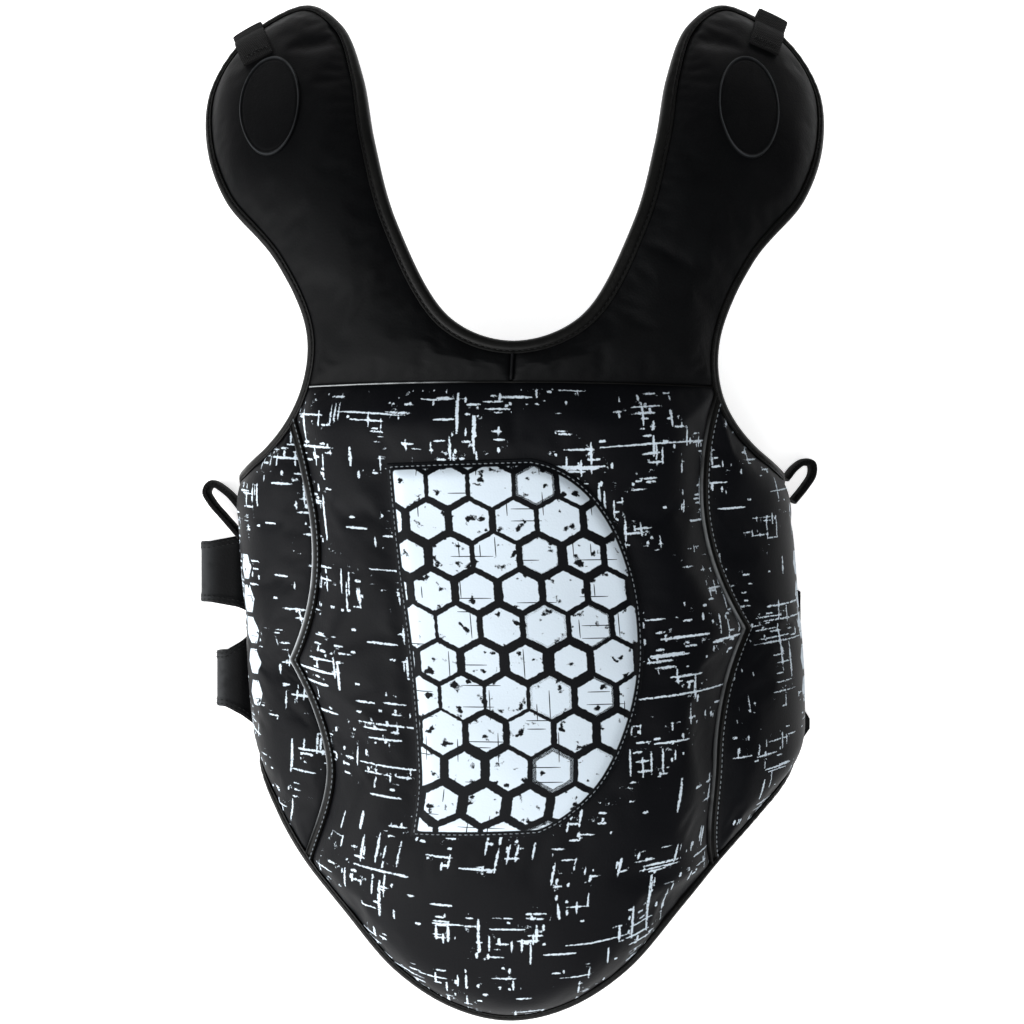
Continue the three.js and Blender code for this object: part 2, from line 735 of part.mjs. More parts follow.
// Leather strap: an upper leaf from the left edge, a fold, and a flat run to just outside the right edge.
function bodyStrap(strap) {
  const { width, rootWidth, foldX, rootX, endFrom, endX, endWidth } = strap;
  const half = STRAP.thickness / 2;
  const radius = STRAP.foldGap / 2 + half;
  const turnX = foldX + radius + half;
  const stations = [
    { x: rootX, z: half + 2 * radius, width: rootWidth },
    { x: rootX - STRAP.taper / 2, z: half + 2 * radius, width: (width + rootWidth) / 2 },
  ];
  for (let k = 0; k <= STRAP.foldSteps; k += 1) {
    const angle = (k / STRAP.foldSteps) * Math.PI;
    stations.push({
      x: turnX - radius * Math.sin(angle),
      z: half + radius + radius * Math.cos(angle),
      width,
    });
  }
  stations.push({ x: rootX, z: half, width });
  stations.push({ x: endFrom, z: half, width }, { x: endX, z: half, width: endWidth });
  const path = stations.map(({ x, z }) => [x, z]);
  const [outer, inner] = [half, -half].map((distance) => offsetPath(path, distance));
  const corner = ([x, z], offset) => new THREE.Vector3(x, strapY(strap, x) + offset, Math.max(z, 0));
  return tube(stations.map((station, i) => [
    corner(outer[i], -station.width / 2),
    corner(outer[i], station.width / 2),
    corner(inner[i], station.width / 2),
    corner(inner[i], -station.width / 2),
  ]));
}

function namedMesh(name, geometry, look) {
  const mesh = new THREE.Mesh(geometry, new THREE.MeshStandardMaterial(look));
  mesh.name = name;
  return mesh;
}

function assemble() {
  const protector = new THREE.Group();
  const add = (name, geometry, look) => protector.add(namedMesh(name, geometry, look));
  const bands = Object.fromEntries(SIDES.map((side) => [side.name, bandPaths(side)]));
  const chest = chestPanel(bands);
  add('chest_panel', chest.geometry, PRINTED_LEATHER);
  add('emblem_pad', emblemPad(chest.heightAt), PALE_PRINT);
  SIDES.forEach((side, i) => {
    const yoke = yokeHalf(side);
    add(`yoke_${side.name}`, yoke.geometry, LEATHER);
    add(`side_panel_${side.name}`, sidePanel(side, bands).geometry, PRINTED_LEATHER);
    add(`seam_band_${side.name}`, seamBand(side, bands), LEATHER);
    add(`tab_patch_${side.name}`, ovalPatch(PATCHES[i], yoke.heightAt), LEATHER);
    add(`shoulder_tab_${side.name}`, shoulderTab(TABS[i], yoke.heightAt), WEBBING_CLOTH);
    add(`side_loop_${side.name}`, sideLoop(LOOPS[i]), WEBBING_CLOTH);
  });
  for (const [name, geometry] of Object.entries(bindings())) add(name, geometry, BOUND_EDGE);
  for (const strap of STRAPS) add(`body_strap_${strap.name}`, bodyStrap(strap), LEATHER);
  return protector;
}

const protector = assemble();
protector.position.set(ORIGIN_SHIFT.x, ORIGIN_SHIFT.y, 0);

export default protector;
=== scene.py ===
# Looks of a padded chest protector that lies face up on a pale floor.
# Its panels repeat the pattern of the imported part: u across and v along the flat cut, w off the inner face.
# Sizes are in mm unless a line says otherwise.
import math

import bpy
import numpy as np
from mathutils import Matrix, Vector
from mathutils.bvhtree import BVHTree


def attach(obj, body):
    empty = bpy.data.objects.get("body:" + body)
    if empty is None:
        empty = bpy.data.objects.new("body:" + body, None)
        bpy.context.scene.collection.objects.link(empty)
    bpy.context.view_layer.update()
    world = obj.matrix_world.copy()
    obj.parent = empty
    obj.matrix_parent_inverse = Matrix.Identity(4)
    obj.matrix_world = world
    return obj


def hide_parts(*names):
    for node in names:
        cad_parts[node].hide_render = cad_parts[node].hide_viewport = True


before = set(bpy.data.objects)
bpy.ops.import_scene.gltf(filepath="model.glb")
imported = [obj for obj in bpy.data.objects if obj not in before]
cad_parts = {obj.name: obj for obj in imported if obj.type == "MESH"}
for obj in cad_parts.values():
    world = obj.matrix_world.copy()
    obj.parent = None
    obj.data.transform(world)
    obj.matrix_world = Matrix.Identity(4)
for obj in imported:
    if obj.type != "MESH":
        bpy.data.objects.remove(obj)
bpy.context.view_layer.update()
bpy.ops.object.select_all(action="DESELECT")

MM = 0.001
TINY = 1e-9
# Vertices closer than this are merged, in metres, and edges flatter than this are shaded smooth.
MERGE, SMOOTH_ANGLE = 1e-5, math.radians(50)
# From the pattern's own origin to the middle of the floor under the whole.
SHIFT = np.array([3.0, 84.0, 0.0])

# The shell that every pattern piece is wrapped on.
INNER_HEIGHT = 130.9
CHEST_RADIUS, CHEST_ANGLE = 278.0, math.radians(38.2)
FLANK_RADIUS, FLANK_ANGLE = 52.0, math.radians(41.0)
FLAP_FROM, FLAP_RADIUS = 69.0, 398.0
HEM_FROM, HEM_RADIUS = -232.0, 444.0
# Rows of v and value, from the flaps down: how strongly the section curls, and the sideways sway.
CURL = ((176.0, 0.45), (-55.0, 0.985), (-98.0, 1.035))
SWAY = ((60.0, 0.0), (-20.0, -3.0), (-260.0, 10.5), (-352.0, -2.3), (-457.0, -2.8))

# Half of the finished outline: row name, u, v.
OUTLINE = (
    ("neck_bottom", 0, 27), ("neck_curve", 43.5, 43.5), ("neck_side", 80, 109), ("neck_rise", 96, 168),
    ("flap_inner", 106, 222), ("flap_corner_in", 123, 271), ("flap_top", 152, 299),
    ("flap_corner_out", 194, 281), ("flap_outer", 222, 238), ("flap_side", 222.5, 190),
    ("armhole_flare", 204, 136), ("armhole_turn", 166.5, 87), ("armhole_waist", 144.5, 35),
    ("yoke_end", 148, 0), ("armhole_low", 166, -28), ("armhole_under", 204, -54),
    ("rear_turn", 246, -63.5), ("rear_top", 262, -82), ("rear_middle", 262, -165), ("rear_low", 262, -248),
    ("lower_turn", 246, -268), ("lower_side", 205, -292), ("lower_flank", 172, -324),
    ("hem_flank", 120.5, -375), ("hem_side", 80.5, -419), ("hem_low", 39.5, -445), ("hem_point", 0, -454),
)
REAR_EDGE = 262.0
ROW_STEPS = 12

BAND_UPPER = ((152, -12), (130, -83), (132.5, -130), (166.5, -181))
BAND_LOWER = ((166.5, -181), (133.5, -227), (125, -278), (150, -354))
BAND_WIDTH, BAND_STEPS, BAND_REACH = 7.0, 26, 30.0
# Each side: sign, rise and outward shift of its seam band.
SIDES = {"left": (-1, -11, 4), "right": (1, 11, -4)}
SEAM = -1.2
BINDING_WIDTH, BINDING_GAP = 6.0, -1.0
BINDING_TOP, BINDING_BOTTOM = 9.6, -0.8
# Round the neck the tape is wider by this share, which is lost again over this many steps of the outline.
NECK_WIDER, NECK_EASE = 0.42, 24
# How far the wider tape presses the yoke down beside it, and how far in that reaches.
NECK_PRESS, NECK_PRESS_REACH = 1.7, 5.0

# Padding: thickness at the middle and at the sewn edge, and how far in the edge is pulled down.
PADDING = {"chest": (19.5, 7.6, 32.0), "side": (15.0, 7.6, 26.0), "yoke": (14.6, 7.8, 26.0)}
PADDING_ROUND = 0.85
# Puckers along the seams: size, where they start and end, spacing, and how the spacing wanders.
PUCKER, PUCKER_START, PUCKER_END, PUCKER_PITCH = 0.28, 1.5, 7.0, 9.0
PUCKER_WANDER, PUCKER_WANDER_RUN = 1.7, 23.0
# Slow unevenness of the foam: size, wave lengths across and along, and start of each wave.
SWELLS = ((0.3, 161, 93, 0.4), (0.22, -97, 143, 1.9), (0.25, 217, -119, 3.1), (0.12, 59, 77, 5.0))
# How far in from its seams the foam is uneven in full, and how far in a cover is held by its seams.
SWELL_EASE, SEWN_EDGE = 30.0, 3.0
# The simulation runs for this many frames, and moves no point further than this.
PUFF_FRAMES, PUFF_MOST = 20, 3.5
# Grid lines across and up each padded cover.
CHEST_GRID, SIDE_GRID, YOKE_GRID, EMBLEM_GRID = (66, 96), (36, 72), (96, 36), (48, 84)

# The short pleat of the chest cover below the yoke seam: place across, half width, start, length and depth.
CHEST_PLEAT, CHEST_PLEAT_HALF, CHEST_PLEAT_FROM = 1.0, 3.2, -46.0
CHEST_PLEAT_LENGTH, CHEST_PLEAT_DEPTH = 40.0, 1.5
# One faint crease at the foot of the right flap: its ends, depth and half width.
CREASE = np.array([[84.0, 97.0], [124.0, 75.0]])
CREASE_DEPTH, CREASE_HALF = 1.1, 4.0
# The narrow pleat where the two yokes meet: width, start, what it stops short of the neck, foot and height.
PLEAT_WIDTH, PLEAT_FROM, PLEAT_SHORT, PLEAT_FOOT, PLEAT_HEIGHT = 2.4, 0.6, 4.4, 6.0, 9.4
PLEAT_RISE, PLEAT_ROUND, PLEAT_DIP = 1.6, 1.25, 0.9
# The turned edge along the yoke seam: width, place, what it stops short at each end, foot and height.
WELT_WIDTH, WELT_DOWN, WELT_SHORT, WELT_FOOT, WELT_HEIGHT = 1.8, 0.9, 1.5, 5.0, 7.4
WELT_RISE, WELT_ROUND = 1.1, 0.95
# How strongly a highlight is painted pale on it, where across it, how widely, and up to which share of its
# length.
WELT_HIGHLIGHT, WELT_HIGHLIGHT_AT, WELT_HIGHLIGHT_HALF = 0.7, 0.2, 0.38
WELT_HIGHLIGHT_END, WELT_HIGHLIGHT_EASE = 0.42, 0.2

# The emblem pad: its straight left side and the curve of its right side.
EMBLEM_LEFT = ((-71, -307), (-80.5, -55))
EMBLEM_BOW = ((10, -301), (93, -262), (102, -68), (12, -52.5))
EMBLEM_BOW_STEPS = 48
EMBLEM_LIFT, EMBLEM_THICK, EMBLEM_RIM_THICK, EMBLEM_SOFT = 0.3, 3.6, 0.7, 9.0
# Its sewn rim, how much of the foam's unevenness it takes on, and the puckers inside its stitches.
EMBLEM_SEWN, EMBLEM_UNEVEN = 3.0, 0.9
EMBLEM_PUCKER, EMBLEM_PUCKER_AT, EMBLEM_PUCKER_HALF, EMBLEM_PUCKER_PITCH = 0.2, 6.0, 3.0, 8.0
# How deep and how widely its stitching draws the chest cover down, and how far out the cover is held.
EMBLEM_DRAWN, EMBLEM_DRAWN_HALF, EMBLEM_HELD = 1.8, 6.0, 5.0
EMBLEM_STITCH_IN, EMBLEM_STITCH_STEPS = 2.6, 400

# Seam bands: height, the roll beside each edge, and how the edge turns down.
BAND_GRID = (28, 150)
BAND_HEIGHT, BAND_ROLL, BAND_ROLL_IN, BAND_ROLL_HALF = 8.4, 1.5, 1.1, 0.8
BAND_EDGE_DROP, BAND_EDGE_HALF = 1.2, 0.35
# Which ridge of a seam band gets a painted highlight in pale colour, as a share across it from the chest
# side, and how strongly.
PAINTED_RIDGE_HIGHLIGHT = {"left": (0.9, 1.0), "right": (0.1, 0.24)}
PAINTED_RIDGE_HIGHLIGHT_HALF = 0.85
# Along the band the painted highlight is strongest round this share, over this much, and has this share
# elsewhere.
HIGHLIGHT_MOST_AT, HIGHLIGHT_MOST_HALF, HIGHLIGHT_LEAST = 0.4, 0.2, 0.45
# How far to the chest side of the band's middle its stitches run, and their height.
BAND_STITCHES = {"left": 2.3, "right": -2.3}
BAND_STITCH_HEIGHT = 9.95

# Section of the folded edge tape: inset from the edge and height, round from the inner face to the front.
TAPE = (
    (6.2, -0.6), (4.0, -0.8), (2.0, -0.7), (0.6, 0.2), (0.0, 2.2), (-0.1, 4.4), (0.0, 6.6), (0.7, 8.6),
    (2.0, 9.5), (3.4, 9.8), (4.3, 9.7), (4.9, 8.8), (5.5, 9.6), (6.2, 9.5), (6.4, 8.6), (6.4, 3.0),
)
TAPE_STEP, TAPE_SHORT = 3.2, 0.1
TAPE_GROOVE, TAPE_STITCH_HEIGHT = 4.9, 9.1
# How the stitching gathers the front of the tape: size, spacing and how that wanders, and where it is seen.
GATHER, GATHER_PITCH, GATHER_WANDER, GATHER_WANDER_RUN = 0.16, 5.1, 2.0, 31.0
GATHER_MIDDLE, GATHER_HALF, GATHER_ABOVE = 3.2, 2.4, 5.0

# Oval patches: sign, u, v and lean of the middle, and the half axes.
PATCHES = {"left": (-1, 168, 200.5, math.radians(4)), "right": (1, 160, 198, math.radians(3))}
PATCH_HALF, PATCH_GRID = (22, 41), (96, 40)
PATCH_THICK, PATCH_LIFT = 1.1, 0.25
# The rolled rim and the groove inside it: size, way in from the edge and half width.
PATCH_RIM, PATCH_RIM_IN, PATCH_RIM_HALF = 0.7, 0.9, 0.6
PATCH_GROOVE, PATCH_GROOVE_IN, PATCH_GROOVE_HALF = 0.35, 2.6, 0.8
# Strength and half width of the highlight painted pale on the rolled rim.
PATCH_RIM_HIGHLIGHT, PATCH_RIM_HIGHLIGHT_HALF = 0.1, 0.5

# Shoulder webbing: sign, u, v and lean of its sewn end, and how far its fold stands off the edge.
WEB_WIDTH, WEB_THICK, WEB_GAP, WEB_BEHIND = 22.0, 1.8, 0.5, 34.0
TABS = {"left": (-1, 179, 242, math.radians(20), 0), "right": (1, 174, 250, math.radians(17), 8)}
TAB_GRID = (12, 84)
# The border of the webbing is thinner by this share, from this share of its half width on.
WEB_THINNER, WEB_THINNER_FROM = 0.45, 0.86
# The zigzag seam: way in from the sewn end, depth, half width and number of turns.
ZIGZAG_IN, ZIGZAG_DEPTH, ZIGZAG_HALF, ZIGZAG_TURNS = 5.0, 3.2, 9.0, 13

# Side loops: doubled webbing on edge, along a way on the floor.
LOOP_BASE, LOOP_HEIGHT, LOOP_THICK, LOOP_SEWN_IN = 3.0, 20.0, 5.6, 4.0
LOOP_STEPS, LOOP_GRID, LOOP_ROUND = 8, (12, 72), 0.85
LOOPS = {
    "left": (
        (-209.5, -82), (-217, -73.5), (-229, -66.5), (-233.2, -72.5), (-229, -81), (-220, -91.5),
        (-209.5, -103.5),
    ),
    "right": (
        (207.5, -60), (212, -54.5), (218.5, -50.3), (224.7, -51.5), (225.2, -59.5), (219.5, -69),
        (213, -77),
    ),
}

# Straps: folded out at the left, then flat under the body to the right.
STRAP_THICK, STRAP_CLEAR, STRAP_GAP, FLOOR_CLEAR = 2.4, 11, 0.6, 0.02
STRAP_FOLD_RADIUS, STRAP_ROOT_HEIGHT, STRAP_ROOT_RUN = 6.2, 7.2, 8.0
STRAPS = {
    "upper": {
        "y": -133, "end_y": -166, "width": 46, "root": 62, "fold_x": -239, "root_x": -202.5,
        "end_from": 209, "end_x": 219, "end": 34,
    },
    "lower": {
        "y": -214, "end_y": -250, "width": 42, "root": 70, "fold_x": -227, "root_x": -199.5,
        "end_from": 215, "end_x": 226, "end": 8,
    },
}
STRAP_GRID, STRAP_FOLD_STEPS = (44, 190), 16
# The turned hem and its edge: width, rise, and how the edge thins out.
STRAP_HEM, STRAP_HEM_RISE, STRAP_HEM_EASE = 6.6, 0.42, 0.8
STRAP_THIN, STRAP_EDGE_THIN, STRAP_EDGE_HALF = 0.25, 0.55, 0.5
# The two rows of stitches in the hem, and the grooves that they lie in.
STRAP_ROWS, STRAP_GROOVE, STRAP_GROOVE_HALF, STRAP_STITCH_PROUD = (1.9, 4.9), 0.3, 0.7, 0.2
# The stations of a strap in the middle of its fold and at the end of the stitches that are seen.
FOLD_STATION, STITCHED_TO, STITCHED_STEPS = 7, 12, 60
# How strongly a highlight is painted pale on the fold, and how far that reaches.
FOLD_HIGHLIGHT, FOLD_HIGHLIGHT_REACH = 0.5, 9.0

# Stitches: pitch, length and radius of the thread. They stand a little proud of what they are sewn through.
TAPE_STITCH, SEAM_STITCH = (4.2, 3.0, 0.42), (3.8, 2.6, 0.42)
STRAP_STITCH, TAB_STITCH = (3.8, 2.8, 0.38), (3.4, 2.6, 0.4)
STITCH_PROUD = 0.15

# Grain of the leather: width of a pebble, length and share of the slow wrinkles, and depth of the embossing.
GRAIN_CELL, WRINKLE_RUN, WRINKLE_SHARE, GRAIN_DEPTH = 1.5, 26.0, 1.6, 0.4
# Wave length of the noise that breaks up the painted highlights.
HIGHLIGHT_BREAK_RUN = 14.0
# Spacing of the webbing's ribs across and along, depth of its weave, and size and depth of a thread's ply.
RIBS, WEAVE_DEPTH = (1.9, 2.3), 0.35
PLY, PLY_DEPTH = 0.8, 0.1

# Scattered strokes of the print: cell along and across, longest half length, half width, share drawn, seed,
# and whether they stand upright.
STROKES = (
    ((84, 13), 24, 1.25, 0.5, 1, False),
    ((46, 8), 15, 0.95, 0.5, 2, False),
    ((19, 6), 5, 1.1, 0.4, 3, False),
    ((56, 13), 17, 1.25, 0.5, 4, True),
    ((29, 7), 9, 0.95, 0.5, 5, True),
    ((11, 7), 2.6, 1.3, 0.3, 6, True),
)
STRAYS = (
    ((61, 31), 13, 1.1, 0.34, 7, False),
    ((23, 17), 2.2, 1.3, 0.26, 8, False),
    ((43, 37), 9, 1.0, 0.2, 9, True),
    ((150, 40), 46, 0.85, 0.42, 10, False),
    ((83, 61), 17, 1.5, 0.34, 13, True),
)
WORN_LINES = (
    ((38, 15), 15, 0.42, 0.5, 11, False),
    ((27, 13), 10, 0.42, 0.35, 12, True),
)
# Where the clusters of strokes fall, by the place that the noise starts from, and their size.
CLUMP_SHIFT, CLUMP_SIZE = (959.0, 637.0, 0.0), 40.0
# How ragged the strokes are.
PRINT_RAGGED = 1.7
# The print is level up to this far from the middle, and its rows rise by this share further out.
PRINT_LEVEL, PRINT_RISE = 50.0, 0.09
# The strokes end below the yoke seam between these heights.
PRINT_TOP = (-7.0, -5.0)
# How much fainter the strokes are made on the right side panel, as painted shade on the side that faces away
# from the light, and where that begins and ends.
RIGHT_FADE, RIGHT_FADE_FROM, RIGHT_FADE_TO = 0.22, 150.0, 175.0
# The print starts at this height off the inner face, which stays plain.
PRINT_FROM = 4.0
# Width of a tile of the emblem, and the way in from the pad's rim where the tiles begin.
HEX_TILE, TILES_IN = 27.0, (4.6, 5.2)
# The row of tiles down each side: its middle line across, and its middle and half length along.
TILE_ROW_ACROSS, TILE_ROW_ALONG, TILE_ROW_HALF = 210.0, -172.0, 68.0
# As the body lies, both rows are moved to the right by this much.
TILE_ROW_SLIDE = 6.0
# Size of a tile of that row beside one of the emblem, along and across.
TILE_ROW_SCALE = (0.85, 0.6)

# The camera looks straight down, and one window and wide daylight come from the left. In metres.
CAMERA_AT, CAMERA_LENS, CAMERA_SENSOR = (1.0 * MM, -4.0 * MM, 1.0914), 50, 36
WINDOW_AT, WINDOW_AIM, WINDOW_SIZE, WINDOW_POWER = (-1.3, -0.7, 0.9), (0, 0, 0.1), 1.3, 20
DAYLIGHT_TURN, DAYLIGHT_SPREAD, DAYLIGHT_POWER = (33, -33, 0), 95, 3.9
# Strength of the backdrop as light, and as the white that the camera sees behind the floor.
SKY_LIGHT, SKY_SEEN = 0.14, 1.15
FLOOR_SIZE, FLOOR_HEIGHT, FLOOR_GLOW = 60, -0.4 * MM, 0.72


def smooth(value):
    t = np.clip(value, 0, 1)
    return t * t * (3 - 2 * t)


def bell(value, half):
    return np.exp(-((value / half) ** 2))


def half_round(across, half):
    """Height of a rounded back over its width, as a share."""
    return np.sqrt(np.maximum(1 - (across / half) ** 2, 0))


def blended(rows, v):
    """Value at v of rows that lead smoothly from one to the next."""
    found = np.full(v.shape, rows[0][1])
    for (start, before), (end, after) in zip(rows, rows[1:]):
        found = np.where(v < start, before + (after - before) * smooth((v - start) / (end - start)), found)
    return found


def shell(u, v):
    """Points of the inner face, in mm."""
    curl = blended(CURL, v)
    above = np.maximum(v - FLAP_FROM, 0)
    below = np.minimum(v - HEM_FROM, 0)
    radius = np.where(above > 0, FLAP_RADIUS, HEM_RADIUS)
    droop = (above + below) / radius
    sway = blended(SWAY, v)
    left = np.abs(u)
    angle = np.zeros_like(left)
    x = np.zeros_like(left)
    drop = np.zeros_like(left)
    for bend, sweep in ((CHEST_RADIUS, CHEST_ANGLE), (FLANK_RADIUS, FLANK_ANGLE)):
        arc = np.minimum(left, bend * sweep)
        turned = angle + curl * arc / bend
        x = x + bend / curl * (np.sin(turned) - np.sin(angle))
        drop = drop + bend / curl * (np.cos(angle) - np.cos(turned))
        angle = turned
        left = left - arc
    x = x + left * np.cos(angle)
    drop = drop + left * np.sin(angle)
    y = v - above - below + radius * np.sin(droop) - drop * np.sin(droop)
    z = INNER_HEIGHT - radius * (1 - np.cos(droop)) - drop * np.cos(droop)
    return np.stack([sway + np.sign(u) * x, y, z], axis=-1)


def strap_middle(strap, x):
    share = np.clip((x - strap["root_x"]) / (strap["end_x"] - strap["root_x"]), 0, 1)
    return strap["y"] + (strap["end_y"] - strap["y"]) * share


def place(u, v, w):
    """Pattern points at height w, in metres in the row frame, never below the floor or a strap."""
    u, v, w = np.broadcast_arrays(*(np.asarray(a, float) for a in (u, v, w)))
    step = 0.05
    across = shell(u + step, v) - shell(u - step, v)
    along = shell(u, v + step) - shell(u, v - step)
    normal = np.cross(across, along)
    normal = normal / np.linalg.norm(normal, axis=-1, keepdims=True)
    points = shell(u, v) + normal * w[..., None]
    floor = np.zeros(points.shape[:-1])
    for strap in STRAPS.values():
        aside = np.abs(points[..., 1] - strap_middle(strap, points[..., 0]))
        near = aside < strap["width"] / 2 + STRAP_CLEAR
        floor = np.where(near, STRAP_THICK + STRAP_GAP, floor)
    points[..., 2] = np.maximum(points[..., 2], floor)
    return (points + SHIFT) * MM


# Paths are arrays of [u, v].
def run_of(path):
    return np.concatenate([[0], np.cumsum(np.linalg.norm(np.diff(path, axis=0), axis=1))])


def at_shares(path, shares):
    run = run_of(path)
    target = np.asarray(shares) * run[-1]
    return np.stack([np.interp(target, run, path[:, k]) for k in range(path.shape[1])], axis=-1)


def stretch(path, start, end):
    low, high = min(start, end), max(start, end)
    inside = np.arange(math.floor(low) + 1, math.ceil(high))
    spots = np.concatenate([[low], inside, [high]])
    found = np.stack([np.interp(spots, np.arange(len(path)), path[:, k]) for k in (0, 1)], axis=-1)
    return found if start < end else found[::-1]


def nearest(path, point):
    """Position on the path nearest to a point."""
    step = np.diff(path, axis=0)
    square = np.maximum((step**2).sum(1), TINY)
    share = np.clip(((point - path[:-1]) * step).sum(1) / square, 0, 1)
    gap = np.linalg.norm(path[:-1] + step * share[:, None] - point, axis=1)
    index = int(gap.argmin())
    return index + share[index]


def distance(points, path):
    """Distance of many points from a path, and how far along it they are."""
    step = np.diff(path, axis=0)
    square = np.maximum((step**2).sum(1), TINY)
    run = run_of(path)
    best = np.full(len(points), np.inf)
    along = np.zeros(len(points))
    for k in range(len(step)):
        share = np.clip(((points - path[k]) @ step[k]) / square[k], 0, 1)
        gap = np.linalg.norm(points - path[k] - share[:, None] * step[k], axis=1)
        closer = gap < best
        best = np.where(closer, gap, best)
        along = np.where(closer, run[k] + share * (run[k + 1] - run[k]), along)
    return best, along


def moved(path, gap, closed=False):
    """The path moved to its right-hand side, with mitred corners."""
    if closed:
        before, after = path - np.roll(path, 1, axis=0), np.roll(path, -1, axis=0) - path
    else:
        step = np.diff(path, axis=0)
        before, after = np.vstack([step[:1], step]), np.vstack([step, step[-1:]])
    sides = []
    for way in (before, after):
        sides.append(np.stack([way[:, 1], -way[:, 0]], 1) / np.linalg.norm(way, axis=1, keepdims=True))
    unit = sides[0] + sides[1]
    unit = unit / np.linalg.norm(unit, axis=1, keepdims=True)
    mitre = (unit * sides[0]).sum(1, keepdims=True)
    return path + unit * gap / mitre


def bezier(a, b, c, d, steps):
    t = np.linspace(0, 1, steps + 1)[:, None]
    a, b, c, d = (np.array(p, float) for p in (a, b, c, d))
    return a * (1 - t) ** 3 + 3 * b * t * (1 - t) ** 2 + 3 * c * t**2 * (1 - t) + d * t**3


def centripetal(rows, steps):
    """A smooth curve through the rows, without its first and last stretch."""
    s = np.arange(steps)[:, None] / steps
    found = []
    for p0, p1, p2, p3 in zip(rows, rows[1:], rows[2:], rows[3:]):
        d0, d1, d2 = (math.sqrt(np.linalg.norm(b - a)) for a, b in ((p0, p1), (p1, p2), (p2, p3)))
        t1 = ((p1 - p0) / d0 - (p2 - p0) / (d0 + d1) + (p2 - p1) / d1) * d1
        t2 = ((p2 - p1) / d1 - (p3 - p1) / (d1 + d2) + (p3 - p2) / d2) * d1
        found.append(
            p1 * (2 * s**3 - 3 * s**2 + 1) + t1 * (s**3 - 2 * s**2 + s)
            + p2 * (3 * s**2 - 2 * s**3) + t2 * (s**3 - s**2)
        )
    return np.vstack([*found, rows[-2][None]])


MIRROR = np.array([-1.0, 1.0])
ROWS = np.array([row[1:] for row in OUTLINE], float)
HALF = centripetal(np.vstack([ROWS[1] * MIRROR, ROWS, ROWS[-2] * MIRROR]), ROW_STEPS)
HALF[:, 0] = np.clip(HALF[:, 0], 0, REAR_EDGE)
HALF_COUNT = len(HALF) - 1
ROUND = np.vstack([(HALF * MIRROR)[::-1], HALF[1:-1]])
CUT_ROUND = moved(ROUND, BINDING_WIDTH + BINDING_GAP, closed=True)
CUT = np.vstack([CUT_ROUND[HALF_COUNT:], CUT_ROUND[:1]])
ROW = {row[0]: k * ROW_STEPS for k, row in enumerate(OUTLINE)}
# Width of the edge tape at each point of the outline, as a share: it is wider round the neck.
FROM_NECK = np.abs(np.arange(len(ROUND)) - HALF_COUNT)
TAPE_WIDE = (1 + NECK_WIDER * smooth((ROW["flap_corner_in"] - FROM_NECK) / NECK_EASE))[:, None]
NECK_LINE = CUT[: ROW["flap_corner_in"] + 1]
LEFT_TOP, RIGHT_TOP = HALF_COUNT - ROW["rear_top"], HALF_COUNT + ROW["rear_top"]
LEFT_LOW, RIGHT_LOW = HALF_COUNT - ROW["rear_low"], HALF_COUNT + ROW["rear_low"]
# The stretch of the outline that each edge tape covers.
TAPE_RUNS = {
    "binding_top": (LEFT_TOP, RIGHT_TOP),
    "binding_side_left": (LEFT_LOW, LEFT_TOP),
    "binding_side_right": (RIGHT_TOP, RIGHT_LOW),
    "binding_hem": (RIGHT_LOW, len(ROUND) + LEFT_LOW),
}


def crossings(path, other):
    found = []
    for i in range(len(path) - 1):
        p, d = path[i], path[i + 1] - path[i]
        e = np.diff(other, axis=0)
        r = other[:-1] - p
        cross = d[0] * e[:, 1] - d[1] * e[:, 0]
        cross = np.where(np.abs(cross) < TINY, TINY, cross)
        on_path = (r[:, 0] * e[:, 1] - r[:, 1] * e[:, 0]) / cross
        on_other = (r[:, 0] * d[1] - r[:, 1] * d[0]) / cross
        hit = (on_path >= 0) & (on_path < 1) & (on_other >= 0) & (on_other < 1)
        found += [i + share for share in on_path[hit]]
    return sorted(found)


def cut_at(v):
    low, high = ROW["armhole_waist"], ROW["armhole_low"]
    heights = CUT[low : high + 1, 1]
    return low + float(np.interp(-v, -heights, np.arange(len(heights))))


def band_line(rise, out, gap):
    """Line beside the middle of a seam band, on the positive half, from the armhole to the hem."""
    curves = [np.array(curve) + (out, rise) for curve in (BAND_UPPER, BAND_LOWER)]
    upper, lower = (bezier(*curve, BAND_STEPS) for curve in curves)
    line = np.vstack([upper, lower[1:]])
    first, last = line[0] - line[1], line[-1] - line[-2]
    line = np.vstack([
        line[0] + first / np.linalg.norm(first) * BAND_REACH, line,
        line[-1] + last / np.linalg.norm(last) * BAND_REACH,
    ])
    point = len(upper)
    path = moved(line, gap)
    meets = crossings(path, CUT)
    shares = np.linspace(0, 1, BAND_STEPS + 1)
    above = at_shares(stretch(path, meets[0], point), shares)
    below = at_shares(stretch(path, point, meets[-1]), shares)
    return np.vstack([above, below[1:]])


def edges_of_yoke(sign):
    half = SEAM / 2
    neck = stretch(CUT, nearest(CUT, np.array([half, CUT[0, 1]])), ROW["flap_corner_in"])
    corner = np.array([[half, half]])
    edges = {
        "bottom": np.vstack([corner, stretch(CUT, cut_at(half), ROW["flap_corner_out"])]),
        "top": neck,
        "left": np.vstack([corner, neck[:1]]),
        "right": stretch(CUT, ROW["flap_corner_out"], ROW["flap_corner_in"]),
    }
    return {key: path * (sign, 1) for key, path in edges.items()}


def edges_of_chest():
    flanks, hems = [], []
    for sign, rise, out in SIDES.values():
        line = band_line(rise, out, BAND_WIDTH / 2 + SEAM)
        flank = np.vstack([stretch(CUT, cut_at(-SEAM / 2), nearest(CUT, line[0])), line[1:]])
        flanks.append((flank * (sign, 1))[::-1])
        hems.append(stretch(CUT, nearest(CUT, line[-1]), HALF_COUNT) * (sign, 1))
    return {
        "bottom": np.vstack([hems[0], hems[1][:-1][::-1]]),
        "top": np.vstack([flanks[0][-1:], [[0, -SEAM / 2]], flanks[1][-1:]]),
        "left": flanks[0],
        "right": flanks[1],
    }


